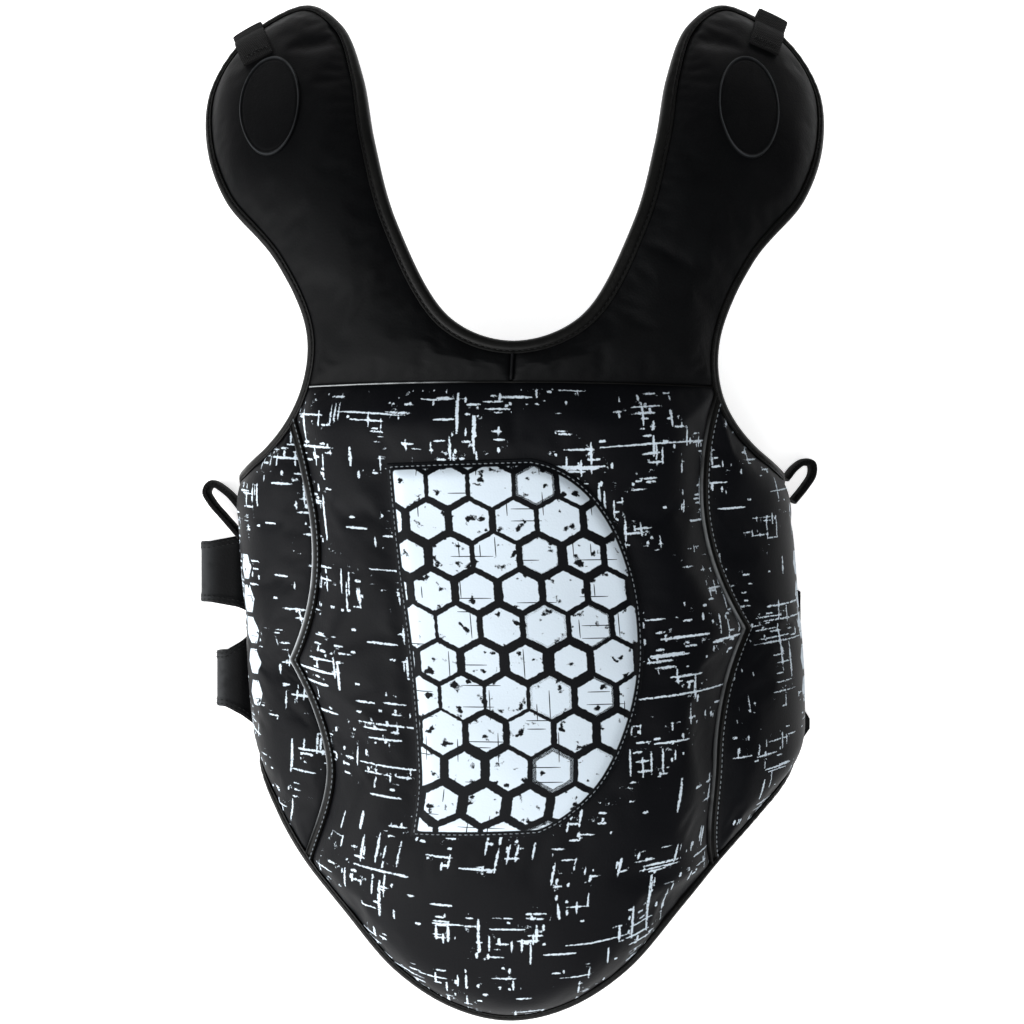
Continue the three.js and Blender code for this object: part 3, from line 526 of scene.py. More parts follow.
def edges_of_side(sign, rise, out):
    line = band_line(rise, out, -BAND_WIDTH / 2 - SEAM)
    edges = {
        "bottom": stretch(CUT, nearest(CUT, line[-1]), ROW["rear_low"]),
        "top": stretch(CUT, nearest(CUT, line[0]), ROW["rear_top"]),
        "left": line[::-1],
        "right": stretch(CUT, ROW["rear_low"], ROW["rear_top"]),
    }
    return {key: path * (sign, 1) for key, path in edges.items()}


def edges_of_emblem():
    low, high = (np.array(p, float) for p in EMBLEM_LEFT)
    bow = bezier(*EMBLEM_BOW, EMBLEM_BOW_STEPS)
    return {
        "bottom": np.vstack([low, bow[0]]),
        "top": np.vstack([high, bow[-1]]),
        "left": np.vstack([low, high]),
        "right": bow,
    }


def patch(edges, s, t):
    """Four-sided patch spanned between its edge paths, at shares s across and t up."""
    low, high = at_shares(edges["bottom"], s), at_shares(edges["top"], s)
    start, end = at_shares(edges["left"], t), at_shares(edges["right"], t)
    s, t = s[:, None], t[:, None]
    c00, c10 = edges["bottom"][0], edges["bottom"][-1]
    c01, c11 = edges["top"][0], edges["top"][-1]
    flat = (1 - t) * ((1 - s) * c00 + s * c10) + t * ((1 - s) * c01 + s * c11)
    return (1 - t) * low + t * high + (1 - s) * start + s * end - flat


def snapped(shares, knots):
    """Shares moved so that a grid line falls on each knot."""
    lines = len(np.unique(np.round(shares, 6))) - 1
    stops = sorted((round(knot * lines) / lines, knot) for knot in knots)
    return np.interp(shares, [0, *(s[0] for s in stops), 1], [0, *(s[1] for s in stops), 1])


def outline_of(edges):
    return [edges[key] for key in ("bottom", "right", "top", "left")]


# Pieces are modelled as by hand: a primitive is added, shaped, and finished with modifiers.
def coordinates(piece):
    found = np.empty(len(piece.data.vertices) * 3)
    piece.data.vertices.foreach_get("co", found)
    return found.reshape(-1, 3)


def put(piece, points):
    piece.data.vertices.foreach_set("co", np.ascontiguousarray(points, float).ravel())
    piece.data.update()


def remember(piece, name, values):
    """Keeps three values at each vertex, such as the pattern place that materials read."""
    kept = piece.data.attributes.get(name) or piece.data.attributes.new(name, "FLOAT_VECTOR", "POINT")
    kept.data.foreach_set("vector", np.ascontiguousarray(values, float).ravel())


def remember_amount(piece, name, amounts):
    remember(piece, name, np.column_stack([amounts] * 3))


def recall(piece, name):
    found = np.empty(len(piece.data.vertices) * 3)
    piece.data.attributes[name].data.foreach_get("vector", found)
    return found.reshape(-1, 3)


def forget(piece, *names):
    for name in names:
        piece.data.attributes.remove(piece.data.attributes[name])


def pick(piece):
    bpy.ops.object.select_all(action="DESELECT")
    piece.select_set(True)
    bpy.context.view_layer.objects.active = piece


def flat_grid(name, columns, rows):
    """A new square grid, and the shares across and up of its vertices."""
    bpy.ops.object.select_all(action="DESELECT")
    bpy.ops.mesh.primitive_grid_add(x_subdivisions=columns, y_subdivisions=rows, size=1)
    piece = bpy.context.object
    piece.name = piece.data.name = name
    points = coordinates(piece) + 0.5
    return piece, points[:, 0], points[:, 1]


def in_edit_mode(piece, work):
    pick(piece)
    bpy.ops.object.mode_set(mode="EDIT")
    bpy.ops.mesh.select_all(action="SELECT")
    work()
    bpy.ops.object.mode_set(mode="OBJECT")


def face_out(piece):
    in_edit_mode(piece, lambda: bpy.ops.mesh.normals_make_consistent(inside=False))


def doubled(piece):
    """Extrudes a sheet to a closed body, and tells which vertices are its new front."""
    in_edit_mode(piece, lambda: bpy.ops.mesh.extrude_region_move())
    front = np.zeros(len(piece.data.vertices), bool)
    piece.data.vertices.foreach_get("select", front)
    return front


def raised(piece, foot):
    """Makes a strip a closed body, from the foot's height up to the height kept in its pattern."""
    front = doubled(piece)
    u, v, w = recall(piece, "pattern").T
    put(piece, place(u, v, np.where(front, w, foot)))
    face_out(piece)


def finish_with(piece, kind, **settings):
    pick(piece)
    bpy.ops.object.modifier_add(type=kind)
    modifier = piece.modifiers[-1]
    for name, value in settings.items():
        setattr(modifier, name, value)
    bpy.ops.object.modifier_apply(modifier=modifier.name)


def subdivide(piece):
    finish_with(piece, "SUBSURF", levels=1, render_levels=1)


def dress(piece, material, slot, *nodes):
    """Material, smooth shading, and which solids the piece stands for."""
    pick(piece)
    bpy.ops.object.shade_smooth_by_angle(angle=SMOOTH_ANGLE)
    piece.data.materials.clear()
    piece.data.materials.append(material)
    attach(piece, "root")
    if nodes:
        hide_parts(*nodes)


def crown(points, edges, padding):
    """Padding height at pattern points: a pillow, pulled down and a little puckered along its seams."""
    full, edge, soft = padding
    gaps = [distance(points, path) for path in outline_of(edges)]
    gap = np.min([g for g, _ in gaps], axis=0)
    height = edge + (full - edge) * np.sin(np.clip(gap / soft, 0, 1) * math.pi / 2) ** PADDING_ROUND
    for near, along in gaps:
        pull = PUCKER * np.exp(-near / PUCKER_END) * (1 - np.exp(-near / PUCKER_START))
        wander = PUCKER_WANDER * np.sin(along / PUCKER_WANDER_RUN)
        height = height + pull * np.sin(along * math.tau / PUCKER_PITCH + wander)
    return height, gap


def swells(points):
    """Slow unevenness of the foam under the cover."""
    u, v = points.T
    return sum(size * np.sin(math.tau * (u / a + v / b) + start) for size, a, b, start in SWELLS)


def padded_panel(name, edges, padding, grid, knots=((), ()), shaped=None):
    """A closed padded panel that keeps its pattern. The second result marks its free front."""
    piece, s, t = flat_grid(name, *grid)
    flat = patch(edges, snapped(s, knots[0]), snapped(t, knots[1]))
    height, gap = crown(flat, edges, padding)
    height = height + swells(flat) * smooth(gap / SWELL_EASE)
    if shaped:
        height = shaped(flat, height)
    remember(piece, "pattern", np.column_stack([flat, height]))
    remember_amount(piece, "free", gap > SEWN_EDGE)
    front = doubled(piece)
    u, v, w = recall(piece, "pattern").T
    w = np.where(front, w, 0)
    remember(piece, "pattern", np.column_stack([u, v, w]))
    put(piece, place(u, v, w))
    face_out(piece)
    free = recall(piece, "free")[:, 0] * front
    forget(piece, "free")
    return piece, free


def puff(pieces):
    """Cloth simulation: pressure in the foam swells each cover between its seams, held where it is sewn."""
    before = {}
    for piece, free in pieces:
        before[piece.name] = coordinates(piece)
        sewn = piece.vertex_groups.new(name="sewn")
        for level in np.unique(free):
            sewn.add([int(k) for k in np.flatnonzero(free == level)], float(1 - level), "REPLACE")
        pick(piece)
        bpy.ops.object.modifier_add(type="CLOTH")
        cloth = piece.modifiers[-1].settings
        cloth.vertex_group_mass = "sewn"
        cloth.quality = 4
        cloth.mass = 0.3
        cloth.tension_stiffness = cloth.compression_stiffness = 40
        cloth.shear_stiffness = 20
        cloth.bending_stiffness = 2
        cloth.shrink_min = -0.006
        cloth.use_pressure = True
        cloth.uniform_pressure_force = 4
        cloth.effector_weights.gravity = 0
    for step in range(1, PUFF_FRAMES + 1):
        bpy.context.scene.frame_set(step)
    for piece, _ in pieces:
        pick(piece)
        bpy.ops.object.modifier_apply(modifier=piece.modifiers[-1].name)
        start = before[piece.name]
        change = coordinates(piece) - start
        size = np.linalg.norm(change, axis=1, keepdims=True)
        put(piece, start + change * np.minimum(1, PUFF_MOST * MM / np.maximum(size, TINY)))
        piece.vertex_groups.clear()
    bpy.context.scene.frame_set(1)


# Colours are sRGB hex values.
def linear(hex_colour):
    parts = [int(hex_colour[k : k + 2], 16) / 255 for k in (1, 3, 5)]
    return (*(c / 12.92 if c <= 0.04045 else ((c + 0.055) / 1.055) ** 2.4 for c in parts), 1)


def add(tree, kind, inputs=(), **settings):
    """A new node with its settings. An input is a value, or another node's output to link."""
    node = tree.nodes.new("ShaderNode" + kind)
    for name, value in settings.items():
        setattr(node, name, value)
    for key, value in dict(inputs).items():
        if isinstance(value, bpy.types.NodeSocket):
            tree.links.new(value, node.inputs[key])
        else:
            node.inputs[key].default_value = value
    return node


def new_material(name):
    material = bpy.data.materials.new(name)
    material.use_nodes = True
    tree = material.node_tree
    return material, tree, tree.nodes["Principled BSDF"]


def leather_grain(tree, shader, strength):
    """Embossed grain: rounded pebbles, drawn coarse enough to show, and slow wrinkles of the coating."""
    place_of = add(tree, "TexCoord").outputs["Object"]
    pebbles = add(tree, "TexVoronoi", {"Vector": place_of, "Scale": 1 / (GRAIN_CELL * MM)}, feature="F1")
    waves = add(tree, "TexNoise", {"Vector": place_of, "Scale": 1 / (WRINKLE_RUN * MM), "Detail": 3})
    slow = add(tree, "Math", {0: waves.outputs[0], 1: WRINKLE_SHARE}, operation="MULTIPLY")
    height = add(tree, "Math", {0: pebbles.outputs[0], 1: slow.outputs[0]}, operation="ADD")
    relief = {"Strength": strength, "Distance": GRAIN_DEPTH * MM}
    bump = add(tree, "Bump", {"Height": height.outputs[0], **relief})
    tree.links.new(bump.outputs[0], shader.inputs["Normal"])
    return waves.outputs[0]


def plain_leather(name, colour, worn, roughness, shine):
    """PU-coated leather, calendered with a pebble grain: black, satin, greyer where it has rubbed."""
    material, tree, shader = new_material(name)
    uneven = leather_grain(tree, shader, 0.16)
    tint = add(tree, "Mix", {"Factor": uneven, "A": linear(colour), "B": linear(worn)}, data_type="RGBA")
    gloss = add(tree, "MapRange", {"Value": uneven, "To Min": roughness - 0.06, "To Max": roughness + 0.08})
    tree.links.new(tint.outputs["Result"], shader.inputs["Base Color"])
    tree.links.new(gloss.outputs[0], shader.inputs["Roughness"])
    shader.inputs["Specular IOR Level"].default_value = shine
    return material


def highlighted_leather(name, colour, worn, pale, roughness, shine):
    """Coated leather with a highlight painted pale on its rolled ridge, as far as the attribute says, broken
    up by slow noise.
    """
    material = plain_leather(name, colour, worn, roughness, shine)
    tree = material.node_tree
    shader = tree.nodes["Principled BSDF"]
    under = shader.inputs["Base Color"].links[0].from_socket
    amount = add(tree, "Attribute", attribute_name="painted_highlight").outputs["Fac"]
    place_of = add(tree, "TexCoord").outputs["Object"]
    patchy = add(tree, "TexNoise", {"Vector": place_of, "Scale": 1 / (HIGHLIGHT_BREAK_RUN * MM), "Detail": 3}).outputs[0]
    wear_and_highlight_breaks = {"From Min": 0.3, "From Max": 0.5, "To Min": 0.45}
    uneven = add(tree, "MapRange", {"Value": patchy, **wear_and_highlight_breaks}).outputs[0]
    share = add(tree, "Math", {0: amount, 1: uneven}, operation="MULTIPLY").outputs[0]
    tint = add(tree, "Mix", {"Factor": share, "A": under, "B": linear(pale)}, data_type="RGBA")
    tree.links.new(tint.outputs["Result"], shader.inputs["Base Color"])
    return material


def strokes(tree, place_of, cell, reach, width, share, seed, upright=False):
    """One scattering of worn strokes: in each cell of the cut one stroke, or none, at a chance place."""
    parts = add(tree, "SeparateXYZ", {0: place_of})
    first = 1 if upright else 0
    along, across = parts.outputs[first], parts.outputs[1 - first]
    spots = []
    for value, size, slide in ((along, cell[0], seed * 7.3), (across, cell[1], seed * 3.1)):
        spot = add(tree, "Math", {0: value, 1: 1 / size, 2: slide}, operation="MULTIPLY_ADD")
        spots.append(spot.outputs[0])
    homes = [add(tree, "Math", {0: spot}, operation="FLOOR").outputs[0] for spot in spots]
    home = add(tree, "CombineXYZ", {0: homes[0], 1: homes[1], 2: float(seed)})
    chance = add(tree, "TexWhiteNoise", {"Vector": home.outputs[0]}, noise_dimensions="3D")
    draws = add(tree, "SeparateColor", {0: chance.outputs["Color"]})
    offsets = []
    for k, margin in ((0, reach / cell[0]), (1, 2 * width / cell[1])):
        inside = add(tree, "Math", {0: spots[k]}, operation="FRACT")
        middle = add(tree, "MapRange", {"Value": draws.outputs[k], "To Min": margin, "To Max": 1 - margin})
        apart = add(tree, "Math", {0: inside.outputs[0], 1: middle.outputs[0]}, operation="SUBTRACT")
        size = add(tree, "Math", {0: apart.outputs[0], 1: cell[k]}, operation="MULTIPLY")
        offsets.append(add(tree, "Math", {0: size.outputs[0]}, operation="ABSOLUTE").outputs[0])
    lengths = {"To Min": reach * 0.35, "To Max": reach}
    length = add(tree, "MapRange", {"Value": chance.outputs["Value"], **lengths})
    way = add(tree, "Math", {0: offsets[0], 1: length.outputs[0]}, operation="DIVIDE")
    past = add(tree, "Math", {0: way.outputs[0], 1: 1.0}, operation="LESS_THAN")
    thin = add(tree, "Math", {0: way.outputs[0], 1: 3.0}, operation="POWER")
    wide = add(tree, "MapRange", {"Value": thin.outputs[0], "To Min": width, "To Max": 0.45 * width})
    inward = {"From Max": wide.outputs[0], "To Min": 1.0, "To Max": 0.0}
    body = add(tree, "MapRange", {"Value": offsets[1], **inward})
    drawn = add(tree, "Math", {0: draws.outputs[2], 1: share}, operation="LESS_THAN")
    there = add(tree, "Math", {0: drawn.outputs[0], 1: past.outputs[0]}, operation="MULTIPLY")
    return add(tree, "Math", {0: there.outputs[0], 1: body.outputs[0]}, operation="MULTIPLY").outputs[0]


def scattered(tree, flat, table):
    total = 0.0
    for cell, reach, width, share, seed, upright in table:
        layer = strokes(tree, flat, cell, reach, width, share, seed, upright)
        total = add(tree, "Math", {0: total, 1: layer}, operation="ADD").outputs[0]
    return total


def scratch_print(tree, place_of):
    """Pale ink in worn strokes: thicker where they cross, broken up, and gathered in loose clusters."""
    jitter = add(tree, "TexNoise", {"Vector": place_of, "Scale": 0.9, "Detail": 2})
    shaken = add(tree, "VectorMath", {0: jitter.outputs["Color"], 1: (0.5, 0.5, 0.5)}, operation="SUBTRACT")
    ragged = {0: shaken.outputs[0], 1: (PRINT_RAGGED, PRINT_RAGGED, 0), 2: place_of}
    rough = add(tree, "VectorMath", ragged, operation="MULTIPLY_ADD")
    spot = add(tree, "SeparateXYZ", {0: rough.outputs[0]}).outputs
    aside = add(tree, "Math", {0: spot[0]}, operation="ABSOLUTE").outputs[0]
    past = add(tree, "Math", {0: aside, 1: PRINT_LEVEL}, operation="SUBTRACT").outputs[0]
    beyond = add(tree, "Math", {0: past, 1: 0.0}, operation="MAXIMUM").outputs[0]
    risen = add(tree, "Math", {0: beyond, 1: -PRINT_RISE, 2: spot[1]}, operation="MULTIPLY_ADD").outputs[0]
    flat = add(tree, "CombineXYZ", {0: spot[0], 1: risen}).outputs[0]
    slid = add(tree, "VectorMath", {0: flat, 1: CLUMP_SHIFT}, operation="ADD").outputs[0]
    clumps = add(tree, "TexNoise", {"Vector": slid, "Scale": 1 / CLUMP_SIZE, "Detail": 2})
    gathered = add(tree, "MapRange", {"Value": clumps.outputs[0], "From Min": 0.485, "From Max": 0.55})
    wear_and_highlight_breaks = add(tree, "TexNoise", {"Vector": flat, "Scale": 0.5, "Detail": 3})
    worn = add(tree, "MapRange", {"Value": wear_and_highlight_breaks.outputs[0], "From Min": 0.3, "From Max": 0.46})
    dense, loose = scattered(tree, flat, STROKES), scattered(tree, flat, STRAYS)
    ink = add(tree, "TexNoise", {"Vector": flat, "Scale": 0.13, "Detail": 6, "Roughness": 0.72}).outputs[0]
    blots = add(tree, "MapRange", {"Value": ink, "From Min": 0.62, "From Max": 0.66}).outputs[0]
    full = add(tree, "Math", {0: dense, 1: blots}, operation="ADD").outputs[0]
    inked = add(tree, "Math", {0: full, 1: gathered.outputs[0], 2: loose}, operation="MULTIPLY_ADD")
    kept = add(tree, "Math", {0: inked.outputs[0], 1: worn.outputs[0]}, operation="MULTIPLY")
    top = {"From Min": PRINT_TOP[0], "From Max": PRINT_TOP[1], "To Min": 1.0, "To Max": 0.0}
    clear = add(tree, "MapRange", {"Value": spot[1], **top}).outputs[0]
    shown = add(tree, "Math", {0: kept.outputs[0], 1: clear}, operation="MULTIPLY").outputs[0]
    # Painted shade: the strokes fade on the right side panel, which faces away from the light.
    right = {"From Min": RIGHT_FADE_FROM, "From Max": RIGHT_FADE_TO, "To Max": RIGHT_FADE}
    fade = add(tree, "MapRange", {"Value": spot[0], **right}).outputs[0]
    faint = add(tree, "Math", {0: shown, 1: fade}, operation="SUBTRACT").outputs[0]
    return add(tree, "MapRange", {"Value": faint, "From Min": 0.26, "From Max": 0.38}).outputs[0]


def printed_leather(name, ground, worn, ink, figure, roughness, shine):
    """The same coated leather with screen ink on it, which is more matt than the coating."""
    material, tree, shader = new_material(name)
    uneven = leather_grain(tree, shader, 0.14)
    pattern = add(tree, "Attribute", attribute_name="pattern").outputs["Vector"]
    mask = figure(tree, pattern)
    tint = add(tree, "Mix", {"Factor": uneven, "A": linear(ground), "B": linear(worn)}, data_type="RGBA")
    under = tint.outputs["Result"]
    paint = add(tree, "Mix", {"Factor": mask, "A": under, "B": linear(ink)}, data_type="RGBA")
    gloss = add(tree, "MapRange", {"Value": mask, "To Min": roughness, "To Max": 0.6})
    tree.links.new(paint.outputs["Result"], shader.inputs["Base Color"])
    tree.links.new(gloss.outputs[0], shader.inputs["Roughness"])
    shader.inputs["Specular IOR Level"].default_value = shine
    return material


def tile_print(tree, place_of):
    """Worn hexagon tiles in pale ink with dark joints, worn lines and chips, and the middle of each tile."""
    scale = (1 / HEX_TILE, 1 / HEX_TILE, 0)
    flat = add(tree, "VectorMath", {0: place_of, 1: scale}, operation="MULTIPLY").outputs[0]
    half = (0.5, math.sqrt(3) / 2, 0.5)
    shifted = add(tree, "VectorMath", {0: flat, 1: half}, operation="ADD").outputs[0]
    near = []
    for start in (flat, shifted):
        bounds = {1: half, 2: tuple(-c for c in half)}
        wrapped = add(tree, "VectorMath", {0: start, **bounds}, operation="WRAP").outputs[0]
        level = add(tree, "VectorMath", {0: wrapped, 1: (1, 1, 0)}, operation="MULTIPLY").outputs[0]
        near.append((level, add(tree, "VectorMath", {0: level}, operation="LENGTH").outputs["Value"]))
    closer = add(tree, "Math", {0: near[0][1], 1: near[1][1]}, operation="GREATER_THAN")
    either = {"Factor": closer.outputs[0], "A": near[0][0], "B": near[1][0]}
    own = add(tree, "Mix", either, data_type="VECTOR").outputs["Result"]
    folded = add(tree, "VectorMath", {0: own}, operation="ABSOLUTE").outputs[0]
    slant = add(tree, "VectorMath", {0: folded, 1: half}, operation="DOT_PRODUCT")
    straight = add(tree, "SeparateXYZ", {0: folded}).outputs[0]
    reach = add(tree, "Math", {0: slant.outputs["Value"], 1: straight}, operation="MAXIMUM").outputs[0]
    tile = add(tree, "VectorMath", {0: flat, 1: own}, operation="SUBTRACT").outputs[0]
    rounded = add(tree, "VectorMath", {0: tile, 1: (0.25, 0.25, 0.25)}, operation="SNAP").outputs[0]
    chance = add(tree, "TexWhiteNoise", {"Vector": rounded}, noise_dimensions="3D").outputs["Value"]
    size = add(tree, "MapRange", {"Value": chance, "To Min": 0.36, "To Max": 0.47}).outputs[0]
    fray = add(tree, "TexNoise", {"Vector": flat, "Scale": 9, "Detail": 3}).outputs[0]
    edge = add(tree, "Math", {0: fray, 1: 0.06, 2: reach}, operation="MULTIPLY_ADD").outputs[0]
    left = add(tree, "Math", {0: size, 1: edge}, operation="SUBTRACT").outputs[0]
    ink = add(tree, "MapRange", {"Value": left, "From Min": -0.035, "From Max": -0.02}).outputs[0]
    level_place = add(tree, "VectorMath", {0: place_of, 1: (1, 1, 0)}, operation="MULTIPLY").outputs[0]
    cuts = scattered(tree, level_place, WORN_LINES)
    uncut = {"From Min": 0.1, "From Max": 0.4, "To Min": 1.0, "To Max": 0.0}
    whole = add(tree, "MapRange", {"Value": cuts, **uncut}).outputs[0]
    chips = add(tree, "TexNoise", {"Vector": flat, "Scale": 3.4, "Detail": 5}).outputs[0]
    solid = add(tree, "MapRange", {"Value": chips, "From Min": 0.36, "From Max": 0.4}).outputs[0]
    sound = add(tree, "Math", {0: whole, 1: solid}, operation="MULTIPLY").outputs[0]
    return add(tree, "Math", {0: ink, 1: sound}, operation="MULTIPLY").outputs[0], tile


def panel_print(tree, place_of):
    """Scratches all over, and a row of worn tiles down each side of the body instead of them."""
    scratches = scratch_print(tree, place_of)
    slide = (TILE_ROW_SLIDE, 0, 0)
    slid = add(tree, "VectorMath", {0: place_of, 1: slide}, operation="SUBTRACT").outputs[0]
    folded = add(tree, "VectorMath", {0: slid}, operation="ABSOLUTE").outputs[0]
    across = add(tree, "SeparateXYZ", {0: folded}).outputs[0]
    along = add(tree, "SeparateXYZ", {0: place_of}).outputs[1]
    aside = add(tree, "Math", {0: across, 1: TILE_ROW_ACROSS}, operation="SUBTRACT").outputs[0]
    down = add(tree, "Math", {0: along, 1: TILE_ROW_ALONG}, operation="SUBTRACT").outputs[0]
    on_row = add(tree, "CombineXYZ", {0: down, 1: aside}).outputs[0]
    sizes = (*(1 / scale for scale in TILE_ROW_SCALE), 0)
    sized = add(tree, "VectorMath", {0: on_row, 1: sizes}, operation="MULTIPLY").outputs[0]
    ink, tile = tile_print(tree, sized)
    middle = add(tree, "SeparateXYZ", {0: tile})
    in_line = add(tree, "Math", {0: middle.outputs[1], 1: 0.0, 2: 0.3}, operation="COMPARE").outputs[0]
    reach = TILE_ROW_HALF / HEX_TILE / TILE_ROW_SCALE[0]
    in_reach = add(tree, "Math", {0: middle.outputs[0], 1: 0.0, 2: reach}, operation="COMPARE").outputs[0]
    row = add(tree, "Math", {0: in_line, 1: in_reach}, operation="MULTIPLY").outputs[0]
    both = add(tree, "Mix", {"Factor": row, "A": scratches, "B": ink}, data_type="FLOAT").outputs[0]
    off_inner_face = add(tree, "SeparateXYZ", {0: place_of}).outputs[2]
    front = add(tree, "Math", {0: off_inner_face, 1: PRINT_FROM}, operation="GREATER_THAN").outputs[0]
    return add(tree, "Math", {0: both, 1: front}, operation="MULTIPLY").outputs[0]


def emblem_print(tree, place_of):
    """Tiles that stop short of the pad's stitching. Its pattern's third part is the way in from the rim."""
    ink, _ = tile_print(tree, place_of)
    from_rim = add(tree, "SeparateXYZ", {0: place_of}).outputs[2]
    start, full = TILES_IN
    within = add(tree, "MapRange", {"Value": from_rim, "From Min": start, "From Max": full}).outputs[0]
    return add(tree, "Math", {0: ink, 1: within}, operation="MULTIPLY").outputs[0]


def webbing_cloth(name, colour, light):
    """Woven polypropylene webbing: ribs both ways, drawn coarse enough to show, and dull; its raised threads
    are painted lighter as a highlight.
    """
    material, tree, shader = new_material(name)
    pattern = add(tree, "Attribute", attribute_name="pattern").outputs["Vector"]
    parts = add(tree, "SeparateXYZ", {0: pattern})
    ribs = []
    for output, spacing in enumerate(RIBS):
        turn = add(tree, "Math", {0: parts.outputs[output], 1: math.tau / spacing}, operation="MULTIPLY")
        ribs.append(add(tree, "Math", {0: turn.outputs[0]}, operation="SINE").outputs[0])
    weave = add(tree, "Math", {0: ribs[0], 1: ribs[1]}, operation="MULTIPLY").outputs[0]
    fuzz = add(tree, "TexNoise", {"Vector": pattern, "Scale": 1.4, "Detail": 2}).outputs[0]
    height = add(tree, "Math", {0: fuzz, 1: 0.7, 2: weave}, operation="MULTIPLY_ADD").outputs[0]
    bump = add(tree, "Bump", {"Height": height, "Strength": 0.7, "Distance": WEAVE_DEPTH * MM})
    # Painted highlight: the colour is lighter where the weave stands higher, and darker in its hollows.
    shade = add(tree, "MapRange", {"Value": height, "From Min": -0.8, "From Max": 1.6}).outputs[0]
    tint = add(tree, "Mix", {"Factor": shade, "A": linear(colour), "B": linear(light)}, data_type="RGBA")
    tree.links.new(bump.outputs[0], shader.inputs["Normal"])
    tree.links.new(tint.outputs["Result"], shader.inputs["Base Color"])
    shader.inputs["Roughness"].default_value = 0.85
    shader.inputs["Specular IOR Level"].default_value = 0.15
    return material


def sewing_thread(name, colour, light):
    """Bonded polyester thread, twisted: a highlight is painted a little brighter on its raised plies."""
    material, tree, shader = new_material(name)
    place_of = add(tree, "TexCoord").outputs["Object"]
    plies = add(tree, "TexNoise", {"Vector": place_of, "Scale": 1 / (PLY * MM), "Detail": 1}).outputs[0]
    tint = add(tree, "Mix", {"Factor": plies, "A": linear(colour), "B": linear(light)}, data_type="RGBA")
    bump = add(tree, "Bump", {"Height": plies, "Strength": 0.5, "Distance": PLY_DEPTH * MM})
    tree.links.new(tint.outputs["Result"], shader.inputs["Base Color"])
    tree.links.new(bump.outputs[0], shader.inputs["Normal"])
    shader.inputs["Roughness"].default_value = 0.6
    shader.inputs["Specular IOR Level"].default_value = 0.2
    return material


YOKE_LEATHER = plain_leather("black_pu_leather_plain", "#050506", "#0a0b0c", 0.5, 0.06)
TRIM_LEATHER = plain_leather("black_pu_leather_trim", "#070707", "#121211", 0.4, 0.13)
# Strap, band and patch leathers: their pale colour is a painted highlight, laid on as far as their attribute
# says.
STRAP_LEATHER = highlighted_leather("black_pu_leather_strap", "#050506", "#0a0b0c", "#4a4c4e", 0.48, 0.08)
BAND_LEATHER = highlighted_leather("black_pu_leather_ridge_highlight", "#070707", "#121211", "#dfe4e7", 0.45, 0.1)
PATCH_LEATHER = highlighted_leather("black_pu_leather_rim_highlight", "#050506", "#0a0b0c", "#8d9398", 0.5, 0.06)
PRINT_LEATHER = printed_leather(
    "black_pu_leather_scratch_print", "#06070a", "#0c0d10", "#c6d2dc", panel_print, 0.48, 0.07)
EMBLEM_LEATHER = printed_leather(
    "black_pu_leather_tile_print", "#07080b", "#0d0f12", "#c6d2dc", emblem_print, 0.48, 0.07)
WEBBING = webbing_cloth("black_polypropylene_webbing", "#020202", "#0a0a0b")
DARK_THREAD = sewing_thread("black_polyester_thread", "#040404", "#121314")
# The pale grey of this thread is partly its colour and partly a painted highlight, standing in for the light
# its stitches catch.
PALE_THREAD = sewing_thread("grey_polyester_thread_painted_highlight", "#43484c", "#8b9399")


def share_near(path, point):
    run = run_of(path)
    return float(np.interp(nearest(path, point), np.arange(len(path)), run) / run[-1])


def knot_of_band(path, ends=5):
    """Share of an edge where the seam band turns, away from the edge's ends."""
    heading = np.unwrap(np.arctan2(*np.diff(path, axis=0).T))
    bend = np.abs(np.diff(heading)[ends:-ends])
    return share_near(path, path[np.argmax(bend) + ends + 1])


CHEST = edges_of_chest()
EMBLEM = edges_of_emblem()
EMBLEM_RIM = np.vstack([EMBLEM["bottom"], EMBLEM["right"], EMBLEM["top"][::-1], EMBLEM["left"][::-1]])


def inside_emblem(points):
    low, high = (np.array(p, float) for p in EMBLEM_LEFT)
    left = low[0] + (high[0] - low[0]) * (points[:, 1] - low[1]) / (high[1] - low[1])
    bow = EMBLEM["right"][np.argsort(EMBLEM["right"][:, 1])]
    right = np.interp(points[:, 1], bow[:, 1], bow[:, 0])
    u, v = points.T
    return (u > left) & (u < right) & (v > low[1]) & (v < bow[-1, 1])


def chest_shape(flat, height):
    """Drawn down along the emblem's stitching, with a short pleat below the yoke seam."""
    gap, _ = distance(flat, EMBLEM_RIM)
    height = height - EMBLEM_DRAWN * bell(gap, EMBLEM_DRAWN_HALF)
    u, v = flat.T
    pleat = bell(u - CHEST_PLEAT, CHEST_PLEAT_HALF) * smooth((v - CHEST_PLEAT_FROM) / CHEST_PLEAT_LENGTH)
    return height - CHEST_PLEAT_DEPTH * pleat


def yoke_shape(flat, height):
    """Pressed down by the tape along the neck, with one faint crease at the foot of the right flap."""
    from_neck, _ = distance(flat * (np.sign(flat[:, 0].mean()), 1), NECK_LINE)
    height = height - NECK_PRESS * bell(from_neck, NECK_PRESS_REACH)
    gap, along = distance(flat, CREASE)
    ends = np.sin(math.pi * np.clip(along / np.linalg.norm(CREASE[1] - CREASE[0]), 0, 1))
    return height - CREASE_DEPTH * bell(gap, CREASE_HALF) * ends


